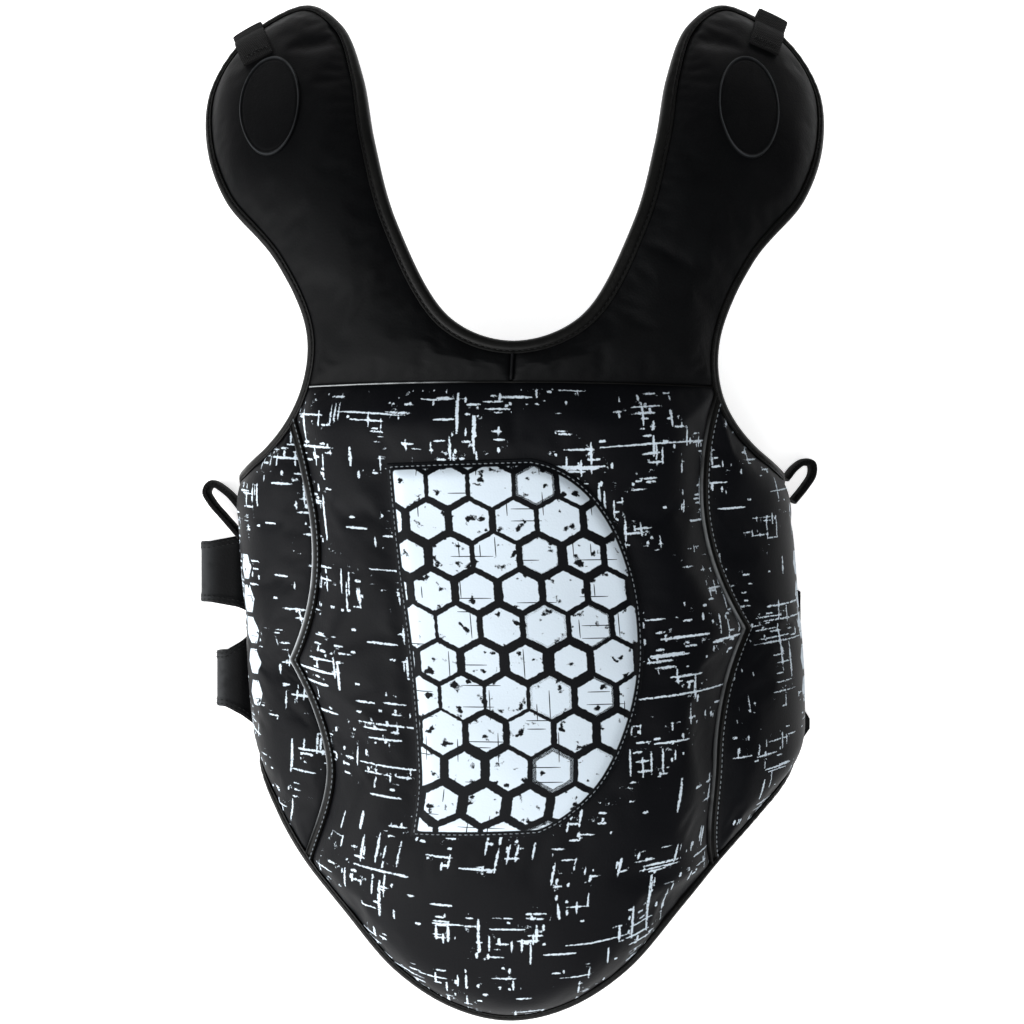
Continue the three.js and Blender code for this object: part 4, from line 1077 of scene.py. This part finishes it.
def padded_covers():
    """The five padded panels, swelled together and then dressed."""
    knots = ((), [knot_of_band(CHEST[key]) for key in ("left", "right")])
    piece, free = padded_panel("chest_panel_cover", CHEST, PADDING["chest"], CHEST_GRID, knots, chest_shape)
    flat = recall(piece, "pattern")[:, :2]
    free = free * ~inside_emblem(flat) * (distance(flat, EMBLEM_RIM)[0] > EMBLEM_HELD)
    covers = [(piece, free, PRINT_LEATHER, "printed_leather", "chest_panel")]
    for side, (sign, rise, out) in SIDES.items():
        edges = edges_of_side(sign, rise, out)
        knots = ((), [knot_of_band(edges["left"])])
        piece, free = padded_panel(f"side_panel_{side}_cover", edges, PADDING["side"], SIDE_GRID, knots)
        covers.append((piece, free, PRINT_LEATHER, "printed_leather", f"side_panel_{side}"))
        edges = edges_of_yoke(sign)
        knots = ([share_near(edges["bottom"], edges["bottom"][1])], ())
        name = f"yoke_{side}_cover"
        piece, free = padded_panel(name, edges, PADDING["yoke"], YOKE_GRID, knots, yoke_shape)
        covers.append((piece, free, YOKE_LEATHER, "plain_leather", f"yoke_{side}"))
    puff([cover[:2] for cover in covers])
    for piece, _, material, slot, node in covers:
        subdivide(piece)
        dress(piece, material, slot, node)


def emblem_pad():
    """A thin pad over the chest: its rim is stitched down and its middle swells."""
    piece, s, t = flat_grid("emblem_pad_cover", *EMBLEM_GRID)
    flat = patch(EMBLEM, s, t)
    base, _ = crown(flat, CHEST, PADDING["chest"])
    gap, along = distance(flat, EMBLEM_RIM)
    base = base + swells(flat) * EMBLEM_UNEVEN - EMBLEM_DRAWN * bell(gap, EMBLEM_DRAWN_HALF) + EMBLEM_LIFT
    inward = np.clip((gap - EMBLEM_SEWN) / EMBLEM_SOFT, 0, 1)
    rise = EMBLEM_RIM_THICK + (EMBLEM_THICK - EMBLEM_RIM_THICK) * np.sin(inward * math.pi / 2)
    pucker = EMBLEM_PUCKER * np.exp(-np.abs(gap - EMBLEM_PUCKER_AT) / EMBLEM_PUCKER_HALF)
    rise = rise + pucker * np.sin(along * math.tau / EMBLEM_PUCKER_PITCH)
    remember(piece, "pattern", np.column_stack([flat, base]))
    remember_amount(piece, "rise", rise)
    front = doubled(piece)
    u, v, w = recall(piece, "pattern").T
    put(piece, place(u, v, w + front * recall(piece, "rise")[:, 0]))
    forget(piece, "rise")
    remember(piece, "pattern", np.column_stack([u, v, distance(np.column_stack([u, v]), EMBLEM_RIM)[0]]))
    face_out(piece)
    subdivide(piece)
    dress(piece, EMBLEM_LEATHER, "emblem_leather", "emblem_pad")


def seam_band(side, sign, rise, out):
    """A plain strip with rolled edges between two panels."""
    piece, s, t = flat_grid(f"seam_band_{side}_strip", *BAND_GRID)
    inner, outer = (at_shares(band_line(rise, out, gap), t) for gap in (BAND_WIDTH / 2, -BAND_WIDTH / 2))
    flat = (inner + (outer - inner) * s[:, None]) * (sign, 1)
    from_edge = np.minimum(s, 1 - s) * BAND_WIDTH
    roll = BAND_ROLL * bell(from_edge - BAND_ROLL_IN, BAND_ROLL_HALF)
    height = BAND_HEIGHT + roll - BAND_EDGE_DROP * np.exp(-from_edge / BAND_EDGE_HALF)
    remember(piece, "pattern", np.column_stack([flat, height]))
    # Painted highlight: the ridge that faces the light on the left is coloured pale, as if it caught that
    # light.
    ridge, strength = PAINTED_RIDGE_HIGHLIGHT[side]
    most = np.exp(-(((t - HIGHLIGHT_MOST_AT) / HIGHLIGHT_MOST_HALF) ** 4))
    shown = strength * (HIGHLIGHT_LEAST + (1 - HIGHLIGHT_LEAST) * most)
    shown = shown * bell((s - ridge) * BAND_WIDTH, PAINTED_RIDGE_HIGHLIGHT_HALF) * smooth(t * 6) * smooth((1 - t) * 5)
    remember_amount(piece, "painted_highlight", shown)
    raised(piece, 0)
    dress(piece, BAND_LEATHER, "plain_leather", f"seam_band_{side}")


def centre_pleat():
    """The two yokes meet in a narrow ridge between the neck and the chest seam."""
    piece, s, t = flat_grid("yoke_centre_pleat", 10, 24)
    across = (s - 0.5) * PLEAT_WIDTH
    along = PLEAT_FROM + t * (CUT[0, 1] - PLEAT_SHORT)
    height = PLEAT_HEIGHT + PLEAT_RISE * half_round(across, PLEAT_ROUND) - PLEAT_DIP * smooth(1 - t * 5)
    remember(piece, "pattern", np.column_stack([across, along, height]))
    raised(piece, PLEAT_FOOT)
    dress(piece, YOKE_LEATHER, "plain_leather")


def yoke_seam_welt():
    """The turned edge of the chest cover along the yoke seam, with a highlight painted pale on its left
    third.
    """
    piece, s, t = flat_grid("yoke_seam_welt", 8, 200)
    start, end = CHEST["top"][0, 0] + WELT_SHORT, CHEST["top"][-1, 0] - WELT_SHORT
    across = (s - 0.5) * WELT_WIDTH
    along = start + t * (end - start)
    height = WELT_HEIGHT + WELT_RISE * half_round(across, WELT_ROUND)
    remember(piece, "pattern", np.column_stack([along, across - WELT_DOWN, height]))
    # Painted highlight: the left third of the welt is coloured pale, as if it caught the light from the left.
    shown = WELT_HIGHLIGHT * bell(across - WELT_HIGHLIGHT_AT, WELT_HIGHLIGHT_HALF)
    remember_amount(piece, "painted_highlight", shown * smooth((WELT_HIGHLIGHT_END - t) / WELT_HIGHLIGHT_EASE))
    raised(piece, WELT_FOOT)
    dress(piece, BAND_LEATHER, "plain_leather")


def binding(node, start, end):
    """Tape folded round the edge of the panels, drawn in a little by its stitching."""
    lengths = run_of(np.vstack([ROUND, ROUND]))
    span = lengths[end] - lengths[start]
    piece, s, t = flat_grid(f"{node}_tape", len(TAPE), int(span / TAPE_STEP))
    section = np.array([*TAPE, TAPE[0]])
    inset, height = (np.interp(s * len(TAPE), np.arange(len(section)), section[:, k]) for k in (0, 1))
    along = lengths[start] + TAPE_SHORT + t * (span - 2 * TAPE_SHORT)
    spots = np.interp(along, lengths, np.arange(len(lengths)))
    flat = np.zeros((len(s), 2))
    for value in np.unique(inset):
        track = moved(ROUND, value * TAPE_WIDE, closed=True)
        track = np.vstack([track, track])
        here = inset == value
        places = [np.interp(spots[here], np.arange(len(track)), track[:, k]) for k in (0, 1)]
        flat[here] = np.stack(places, axis=1)
    wander = GATHER_WANDER * np.sin(along / GATHER_WANDER_RUN)
    gather = GATHER * np.sin(along * math.tau / GATHER_PITCH + wander)
    seen = (np.abs(inset - GATHER_MIDDLE) < GATHER_HALF) & (height > GATHER_ABOVE)
    remember(piece, "pattern", np.column_stack([flat, height]))
    put(piece, place(flat[:, 0], flat[:, 1], height + gather * seen))
    in_edit_mode(piece, lambda: bpy.ops.mesh.remove_doubles(threshold=MERGE))

    def close_ends():
        bpy.ops.mesh.select_all(action="DESELECT")
        bpy.ops.mesh.select_mode(type="EDGE")
        bpy.ops.mesh.select_non_manifold()
        bpy.ops.mesh.fill_holes(sides=len(TAPE) + 2)
        bpy.ops.mesh.select_mode(type="VERT")

    in_edit_mode(piece, close_ends)
    face_out(piece)
    dress(piece, TRIM_LEATHER, "bound_edge", node)


padded_covers()
emblem_pad()
centre_pleat()
yoke_seam_welt()
for side, (sign, rise, out) in SIDES.items():
    seam_band(side, sign, rise, out)
for node, (start, end) in TAPE_RUNS.items():
    binding(node, start, end)


def surface_of(piece):
    faces = [list(face.vertices) for face in piece.data.polygons]
    return BVHTree.FromPolygons(coordinates(piece).tolist(), faces)


def height_on(surface, flat, above=45):
    """Height of a cover's front at pattern points, or 0 beside it. Rays come down from well above."""
    outer, inner = (place(flat[:, 0], flat[:, 1], w) for w in (above, 0))
    found = np.zeros(len(flat))
    for k, (start, end) in enumerate(zip(outer, inner)):
        hit = surface.ray_cast(Vector(start), Vector(end - start))
        if hit[0] is not None:
            found[k] = above - hit[3] / MM
    return found


def stitch_run(name, points, material, slot, stitch):
    """Stitches along a line in the row frame: one is modelled and copied along it."""
    pitch, length, radius = stitch
    bpy.ops.object.select_all(action="DESELECT")
    bpy.ops.mesh.primitive_uv_sphere_add(segments=6, ring_count=4, radius=1)
    piece = bpy.context.object
    piece.name = piece.data.name = name
    size = np.array([length / 2, radius, radius]) * MM
    put(piece, coordinates(piece)[:, [2, 0, 1]] * size + (pitch / 2 * MM, 0, 0))
    line = bpy.data.curves.new(name + "_line", "CURVE")
    line.dimensions = "3D"
    spline = line.splines.new("POLY")
    spline.points.add(len(points) - 1)
    spline.points.foreach_set("co", np.column_stack([points, np.ones(len(points))]).ravel())
    guide = bpy.data.objects.new(name + "_line", line)
    bpy.context.scene.collection.objects.link(guide)
    count = int(run_of(points)[-1] / (pitch * MM))
    finish_with(piece, "ARRAY", count=count, use_relative_offset=False, use_constant_offset=True,
                constant_offset_displace=(pitch * MM, 0, 0))
    finish_with(piece, "CURVE", object=guide, deform_axis="POS_X")
    bpy.data.objects.remove(guide)
    dress(piece, material, slot)


def oval_place(side, angle, reach):
    """Pattern points of an oval patch: turn about its middle, and share of the way to its edge."""
    sign, u, v, lean = PATCHES[side]
    across, along = reach * PATCH_HALF[0] * np.cos(angle), reach * PATCH_HALF[1] * np.sin(angle)
    du = across * math.cos(lean) + along * math.sin(lean)
    dv = along * math.cos(lean) - across * math.sin(lean)
    return np.column_stack([sign * (u + du), v + dv])


def oval_patch(side, surface):
    """Oval leather patch with a fine rolled rim."""
    piece, s, t = flat_grid(f"tab_patch_{side}_leather", *PATCH_GRID)
    t = 1 - (1 - t) ** 2
    flat = oval_place(side, s * math.tau, t)
    from_edge = (1 - t) * sum(PATCH_HALF) / 2
    rim = PATCH_RIM * bell(from_edge - PATCH_RIM_IN, PATCH_RIM_HALF)
    rise = PATCH_THICK + rim - PATCH_GROOVE * bell(from_edge - PATCH_GROOVE_IN, PATCH_GROOVE_HALF)
    put(piece, place(flat[:, 0], flat[:, 1], PADDING["yoke"][0]))
    remember(piece, "pattern", np.column_stack([flat, rise]))
    # Painted highlight: the rolled rim is coloured paler, as if it caught the light.
    remember_amount(piece, "painted_highlight", PATCH_RIM_HIGHLIGHT * bell(from_edge - PATCH_RIM_IN, PATCH_RIM_HIGHLIGHT_HALF))
    in_edit_mode(piece, lambda: bpy.ops.mesh.remove_doubles(threshold=MERGE))
    front = doubled(piece)
    u, v, rise = recall(piece, "pattern").T
    base = height_on(surface, np.column_stack([u, v]))
    put(piece, place(u, v, base + PATCH_LIFT + front * rise))
    face_out(piece)
    dress(piece, PATCH_LEATHER, "plain_leather", f"tab_patch_{side}")


def ribbon(name, spine, shares, halves, half_thick, put_at, grid):
    """A flat band along a bent spine: half widths at shares of its length, half thickness across it."""
    piece, s, t = flat_grid(name, *grid)
    across = (s - 0.5) * 2
    lines, row = np.unique(np.round(t, 6), return_inverse=True)
    path = at_shares(spine, lines)
    normal = (moved(path, 1) - path)[row]
    width = np.interp(t, shares, halves)
    remember(piece, "pattern", np.column_stack([across * width, run_of(path)[row], np.zeros_like(s)]))
    remember(piece, "spot", np.column_stack([path[row], across * width]))
    remember(piece, "lift", np.column_stack([normal, half_thick(across, width)]))
    way = np.where(doubled(piece), 1, -1)
    a, b, off = recall(piece, "spot").T
    na, nb, thick = recall(piece, "lift").T
    put(piece, put_at(a + na * thick * way, b + nb * thick * way, off))
    forget(piece, "spot", "lift")
    face_out(piece)
    return piece


def shoulder_tab(side, surface):
    """Webbing sewn to the flap's front, folded over its tip and ending behind it."""
    sign, u, v, lean, stand_off = TABS[side]

    def at(reach, across):
        reach, across = np.broadcast_arrays(np.asarray(reach, float), np.asarray(across, float))
        return np.column_stack([
            sign * (u + reach * math.sin(lean) + across * math.cos(lean)),
            v + reach * math.cos(lean) - across * math.sin(lean),
        ])

    steps = np.arange(0, 120, 0.5)
    edge = steps[np.argmax(distance(at(steps, 0), HALF * (sign, 1))[0] <= 0.5)]
    lift = WEB_GAP + WEB_THICK / 2
    front, back = BINDING_TOP + lift, BINDING_BOTTOM - lift
    reaches = np.linspace(0, edge - BINDING_WIDTH - 1, 12)
    under = [height_on(surface, at(reaches, side_way * WEB_WIDTH / 2)) for side_way in (-1, 0, 1)]
    heights = np.maximum(np.max(under, axis=0), BINDING_TOP) + lift
    turn = np.linspace(0, math.pi, 14)
    radius = (front - back) / 2
    out = edge + stand_off + radius * np.sin(turn)
    fold = np.column_stack([out, (front + back) / 2 + radius * np.cos(turn)])
    spine = np.vstack([np.column_stack([reaches, heights]), fold, [[edge - WEB_BEHIND, back]]])

    def half_thick(across, width):
        border = smooth((np.abs(across) - WEB_THINNER_FROM) / (1 - WEB_THINNER_FROM))
        return WEB_THICK / 2 * (1 - WEB_THINNER * border)

    def put_at(reach, w, across):
        return place(*at(reach, across).T, w)

    halves = (WEB_WIDTH / 2, WEB_WIDTH / 2)
    piece = ribbon(f"shoulder_tab_{side}_webbing", spine, (0, 1), halves, half_thick, put_at, TAB_GRID)
    dress(piece, WEBBING, "webbing", f"shoulder_tab_{side}")
    length = run_of(spine)[-1] * MM
    zigzag = np.linspace(-ZIGZAG_HALF, ZIGZAG_HALF, ZIGZAG_TURNS)
    rows = at(ZIGZAG_IN + ZIGZAG_DEPTH * (np.arange(ZIGZAG_TURNS) % 2), zigzag)
    height = np.interp(ZIGZAG_IN, reaches, heights) + WEB_THICK / 2 + STITCH_PROUD
    points = place(rows[:, 0], rows[:, 1], height)
    stitch_run(f"stitches_shoulder_tab_{side}", points, DARK_THREAD, "webbing", TAB_STITCH)


def side_loop(side):
    """Doubled webbing on edge, with soft rounded borders."""
    way = np.array(LOOPS[side], float)
    first, last = way[0] - way[1], way[-1] - way[-2]
    way[0] += first / np.linalg.norm(first) * LOOP_SEWN_IN
    way[-1] += last / np.linalg.norm(last) * LOOP_SEWN_IN
    ends = 2 * way[0] - way[1], 2 * way[-1] - way[-2]
    spine = centripetal(np.vstack([ends[0], way, ends[1]]), LOOP_STEPS)

    def half_thick(across, width):
        return LOOP_THICK / 2 * np.sqrt(1 - LOOP_ROUND * np.abs(across) ** 3)

    def put_at(x, y, off):
        return (np.column_stack([x, y, LOOP_BASE + LOOP_HEIGHT / 2 + off]) + SHIFT) * MM

    halves = (LOOP_HEIGHT / 2, LOOP_HEIGHT / 2)
    piece = ribbon(f"side_loop_{side}_webbing", spine, (0, 1), halves, half_thick, put_at, LOOP_GRID)
    dress(piece, WEBBING, "webbing", f"side_loop_{side}")
    run_of(spine)[-1] * MM


def body_strap(name):
    """Leather strap with a turned, twice stitched hem: a leaf from the left edge, a fold and a flat run."""
    strap = STRAPS[name]
    half = STRAP_THICK / 2
    radius = STRAP_FOLD_RADIUS
    root_x = strap["root_x"]
    turn_x = strap["fold_x"] + radius + half
    turn = np.linspace(0, math.pi, STRAP_FOLD_STEPS)
    leaf_height = (STRAP_ROOT_HEIGHT + half + 2 * radius) / 2 + 1
    stations = np.vstack([
        [[root_x, STRAP_ROOT_HEIGHT], [root_x - STRAP_ROOT_RUN, leaf_height]],
        np.column_stack([turn_x - radius * np.sin(turn), half + radius + radius * np.cos(turn)]),
        [[root_x, half], [strap["end_from"], half], [strap["end_x"], half]],
    ])
    width, root = strap["width"], strap["root"]
    halves = np.array([root, (root + width) / 2, *[width] * len(turn), width, width, strap["end"]]) / 2
    run = run_of(stations)
    shares = run / run[-1]

    def half_thick(across, wide):
        inside = (1 - np.abs(across)) * wide
        hem = STRAP_HEM_RISE * smooth((STRAP_HEM - inside) / STRAP_HEM_EASE)
        grooves = STRAP_GROOVE * sum(bell(inside - row, STRAP_GROOVE_HALF) for row in STRAP_ROWS)
        return half - STRAP_THIN + hem - grooves - STRAP_EDGE_THIN * np.exp(-inside / STRAP_EDGE_HALF)

    def put_at(x, z, off):
        y = strap_middle(strap, x) + off
        return (np.column_stack([x, y, np.maximum(z, FLOOR_CLEAR)]) + SHIFT) * MM

    piece = ribbon(f"body_strap_{name}_leather", stations, shares, halves, half_thick, put_at, STRAP_GRID)
    # Painted highlight: the strap is coloured paler around its fold, as if the round of the fold were lit
    # from the left.
    from_fold = recall(piece, "pattern")[:, 1] - run[FOLD_STATION]
    remember_amount(piece, "painted_highlight", FOLD_HIGHLIGHT * bell(from_fold, FOLD_HIGHLIGHT_REACH))
    dress(piece, STRAP_LEATHER, "plain_leather", f"body_strap_{name}")
    stitched = np.linspace(0, shares[STITCHED_TO], STITCHED_STEPS)
    outward = moved(at_shares(stations, stitched), half + STRAP_STITCH_PROUD)
    wide = np.interp(stitched, shares, halves)
    outer, inner = STRAP_ROWS
    for row, (way, inset) in enumerate(((-1, outer), (-1, inner), (1, inner), (1, outer))):
        points = put_at(outward[:, 0], outward[:, 1], way * (wide - inset))
        stitches = f"stitches_body_strap_{name}_{row}"
        stitch_run(stitches, points, DARK_THREAD, "plain_leather", STRAP_STITCH)


for side in SIDES:
    cover = surface_of(bpy.data.objects[f"yoke_{side}_cover"])
    oval_patch(side, cover)
    shoulder_tab(side, cover)
    side_loop(side)
for name in STRAPS:
    body_strap(name)


def edge_stitches(node, start, end):
    """Stitches in the groove of the edge tape."""
    track = moved(ROUND, TAPE_GROOVE * TAPE_WIDE, closed=True)
    points = np.vstack([track, track])[start : end + 1]
    line = place(points[:, 0], points[:, 1], TAPE_STITCH_HEIGHT)
    stitch_run(f"stitches_{node}", line, DARK_THREAD, "bound_edge", TAPE_STITCH)


def band_stitches(side, sign, rise, out):
    flat = band_line(rise, out, BAND_STITCHES[side]) * (sign, 1)
    line = place(flat[:, 0], flat[:, 1], BAND_STITCH_HEIGHT)
    stitch_run(f"stitches_seam_band_{side}", line, PALE_THREAD, "plain_leather", SEAM_STITCH)


def emblem_stitches():
    surface = surface_of(bpy.data.objects["emblem_pad_cover"])
    steps = np.linalg.norm(np.diff(EMBLEM_RIM, axis=0, append=EMBLEM_RIM[:1]), axis=1)
    rim = moved(EMBLEM_RIM[steps > 1e-6], -EMBLEM_STITCH_IN, closed=True)
    rim = at_shares(np.vstack([rim, rim[:1]]), np.linspace(0, 1, EMBLEM_STITCH_STEPS))
    line = place(rim[:, 0], rim[:, 1], height_on(surface, rim) + STITCH_PROUD)
    stitch_run("stitches_emblem_pad", line, PALE_THREAD, "emblem_leather", SEAM_STITCH)


for node, (start, end) in TAPE_RUNS.items():
    edge_stitches(node, start, end)
for side, (sign, rise, out) in SIDES.items():
    band_stitches(side, sign, rise, out)
emblem_stitches()


def camera():
    bpy.ops.object.camera_add(location=CAMERA_AT, rotation=(0, 0, 0))
    view = bpy.context.object
    view.data.lens = CAMERA_LENS
    view.data.sensor_width = CAMERA_SENSOR
    view.data.clip_start = 0.01
    bpy.context.scene.camera = view


def light():
    aim = Vector(WINDOW_AIM) - Vector(WINDOW_AT)
    turn = aim.to_track_quat("-Z", "Y").to_euler()
    bpy.ops.object.light_add(type="AREA", location=WINDOW_AT, rotation=turn)
    window = bpy.context.object
    window.name = "window_left"
    window.data.size = WINDOW_SIZE
    window.data.energy = WINDOW_POWER
    bpy.ops.object.light_add(type="SUN", rotation=[math.radians(turn) for turn in DAYLIGHT_TURN])
    sun = bpy.context.object
    sun.name = "wide_daylight"
    sun.data.energy = DAYLIGHT_POWER
    sun.data.angle = math.radians(DAYLIGHT_SPREAD)
    world = bpy.data.worlds.new("studio")
    bpy.context.scene.world = world
    world.use_nodes = True
    tree = world.node_tree
    backdrop = tree.nodes["Background"].inputs
    backdrop["Color"].default_value = linear("#eef1f4")
    seen = add(tree, "LightPath").outputs["Is Camera Ray"]
    strength = add(tree, "MapRange", {"Value": seen, "To Min": SKY_LIGHT, "To Max": SKY_SEEN}).outputs[0]
    tree.links.new(strength, backdrop["Strength"])


def floor():
    """Matt white paper: no gloss, and a glow of its own, as when the ground is lit more than the object."""
    bpy.ops.mesh.primitive_plane_add(size=FLOOR_SIZE, location=(0, 0, FLOOR_HEIGHT))
    sheet = bpy.context.object
    sheet.name = "floor"
    material, tree, shader = new_material("matt_white_paper")
    place_of = add(tree, "TexCoord").outputs["Object"]
    fibres = add(tree, "TexNoise", {"Vector": place_of, "Scale": 300}).outputs[0]
    whites = {"A": linear("#f4f4f4"), "B": linear("#f8f8f8")}
    tint = add(tree, "Mix", {"Factor": fibres, **whites}, data_type="RGBA")
    tree.links.new(tint.outputs["Result"], shader.inputs["Base Color"])
    shader.inputs["Roughness"].default_value = 0.9
    shader.inputs["Emission Color"].default_value = linear("#ffffff")
    shader.inputs["Emission Strength"].default_value = FLOOR_GLOW
    sheet.data.materials.append(material)


camera()
light()
floor()
bpy.context.scene.view_settings.view_transform = "Standard"

bpy.context.view_layer.update()
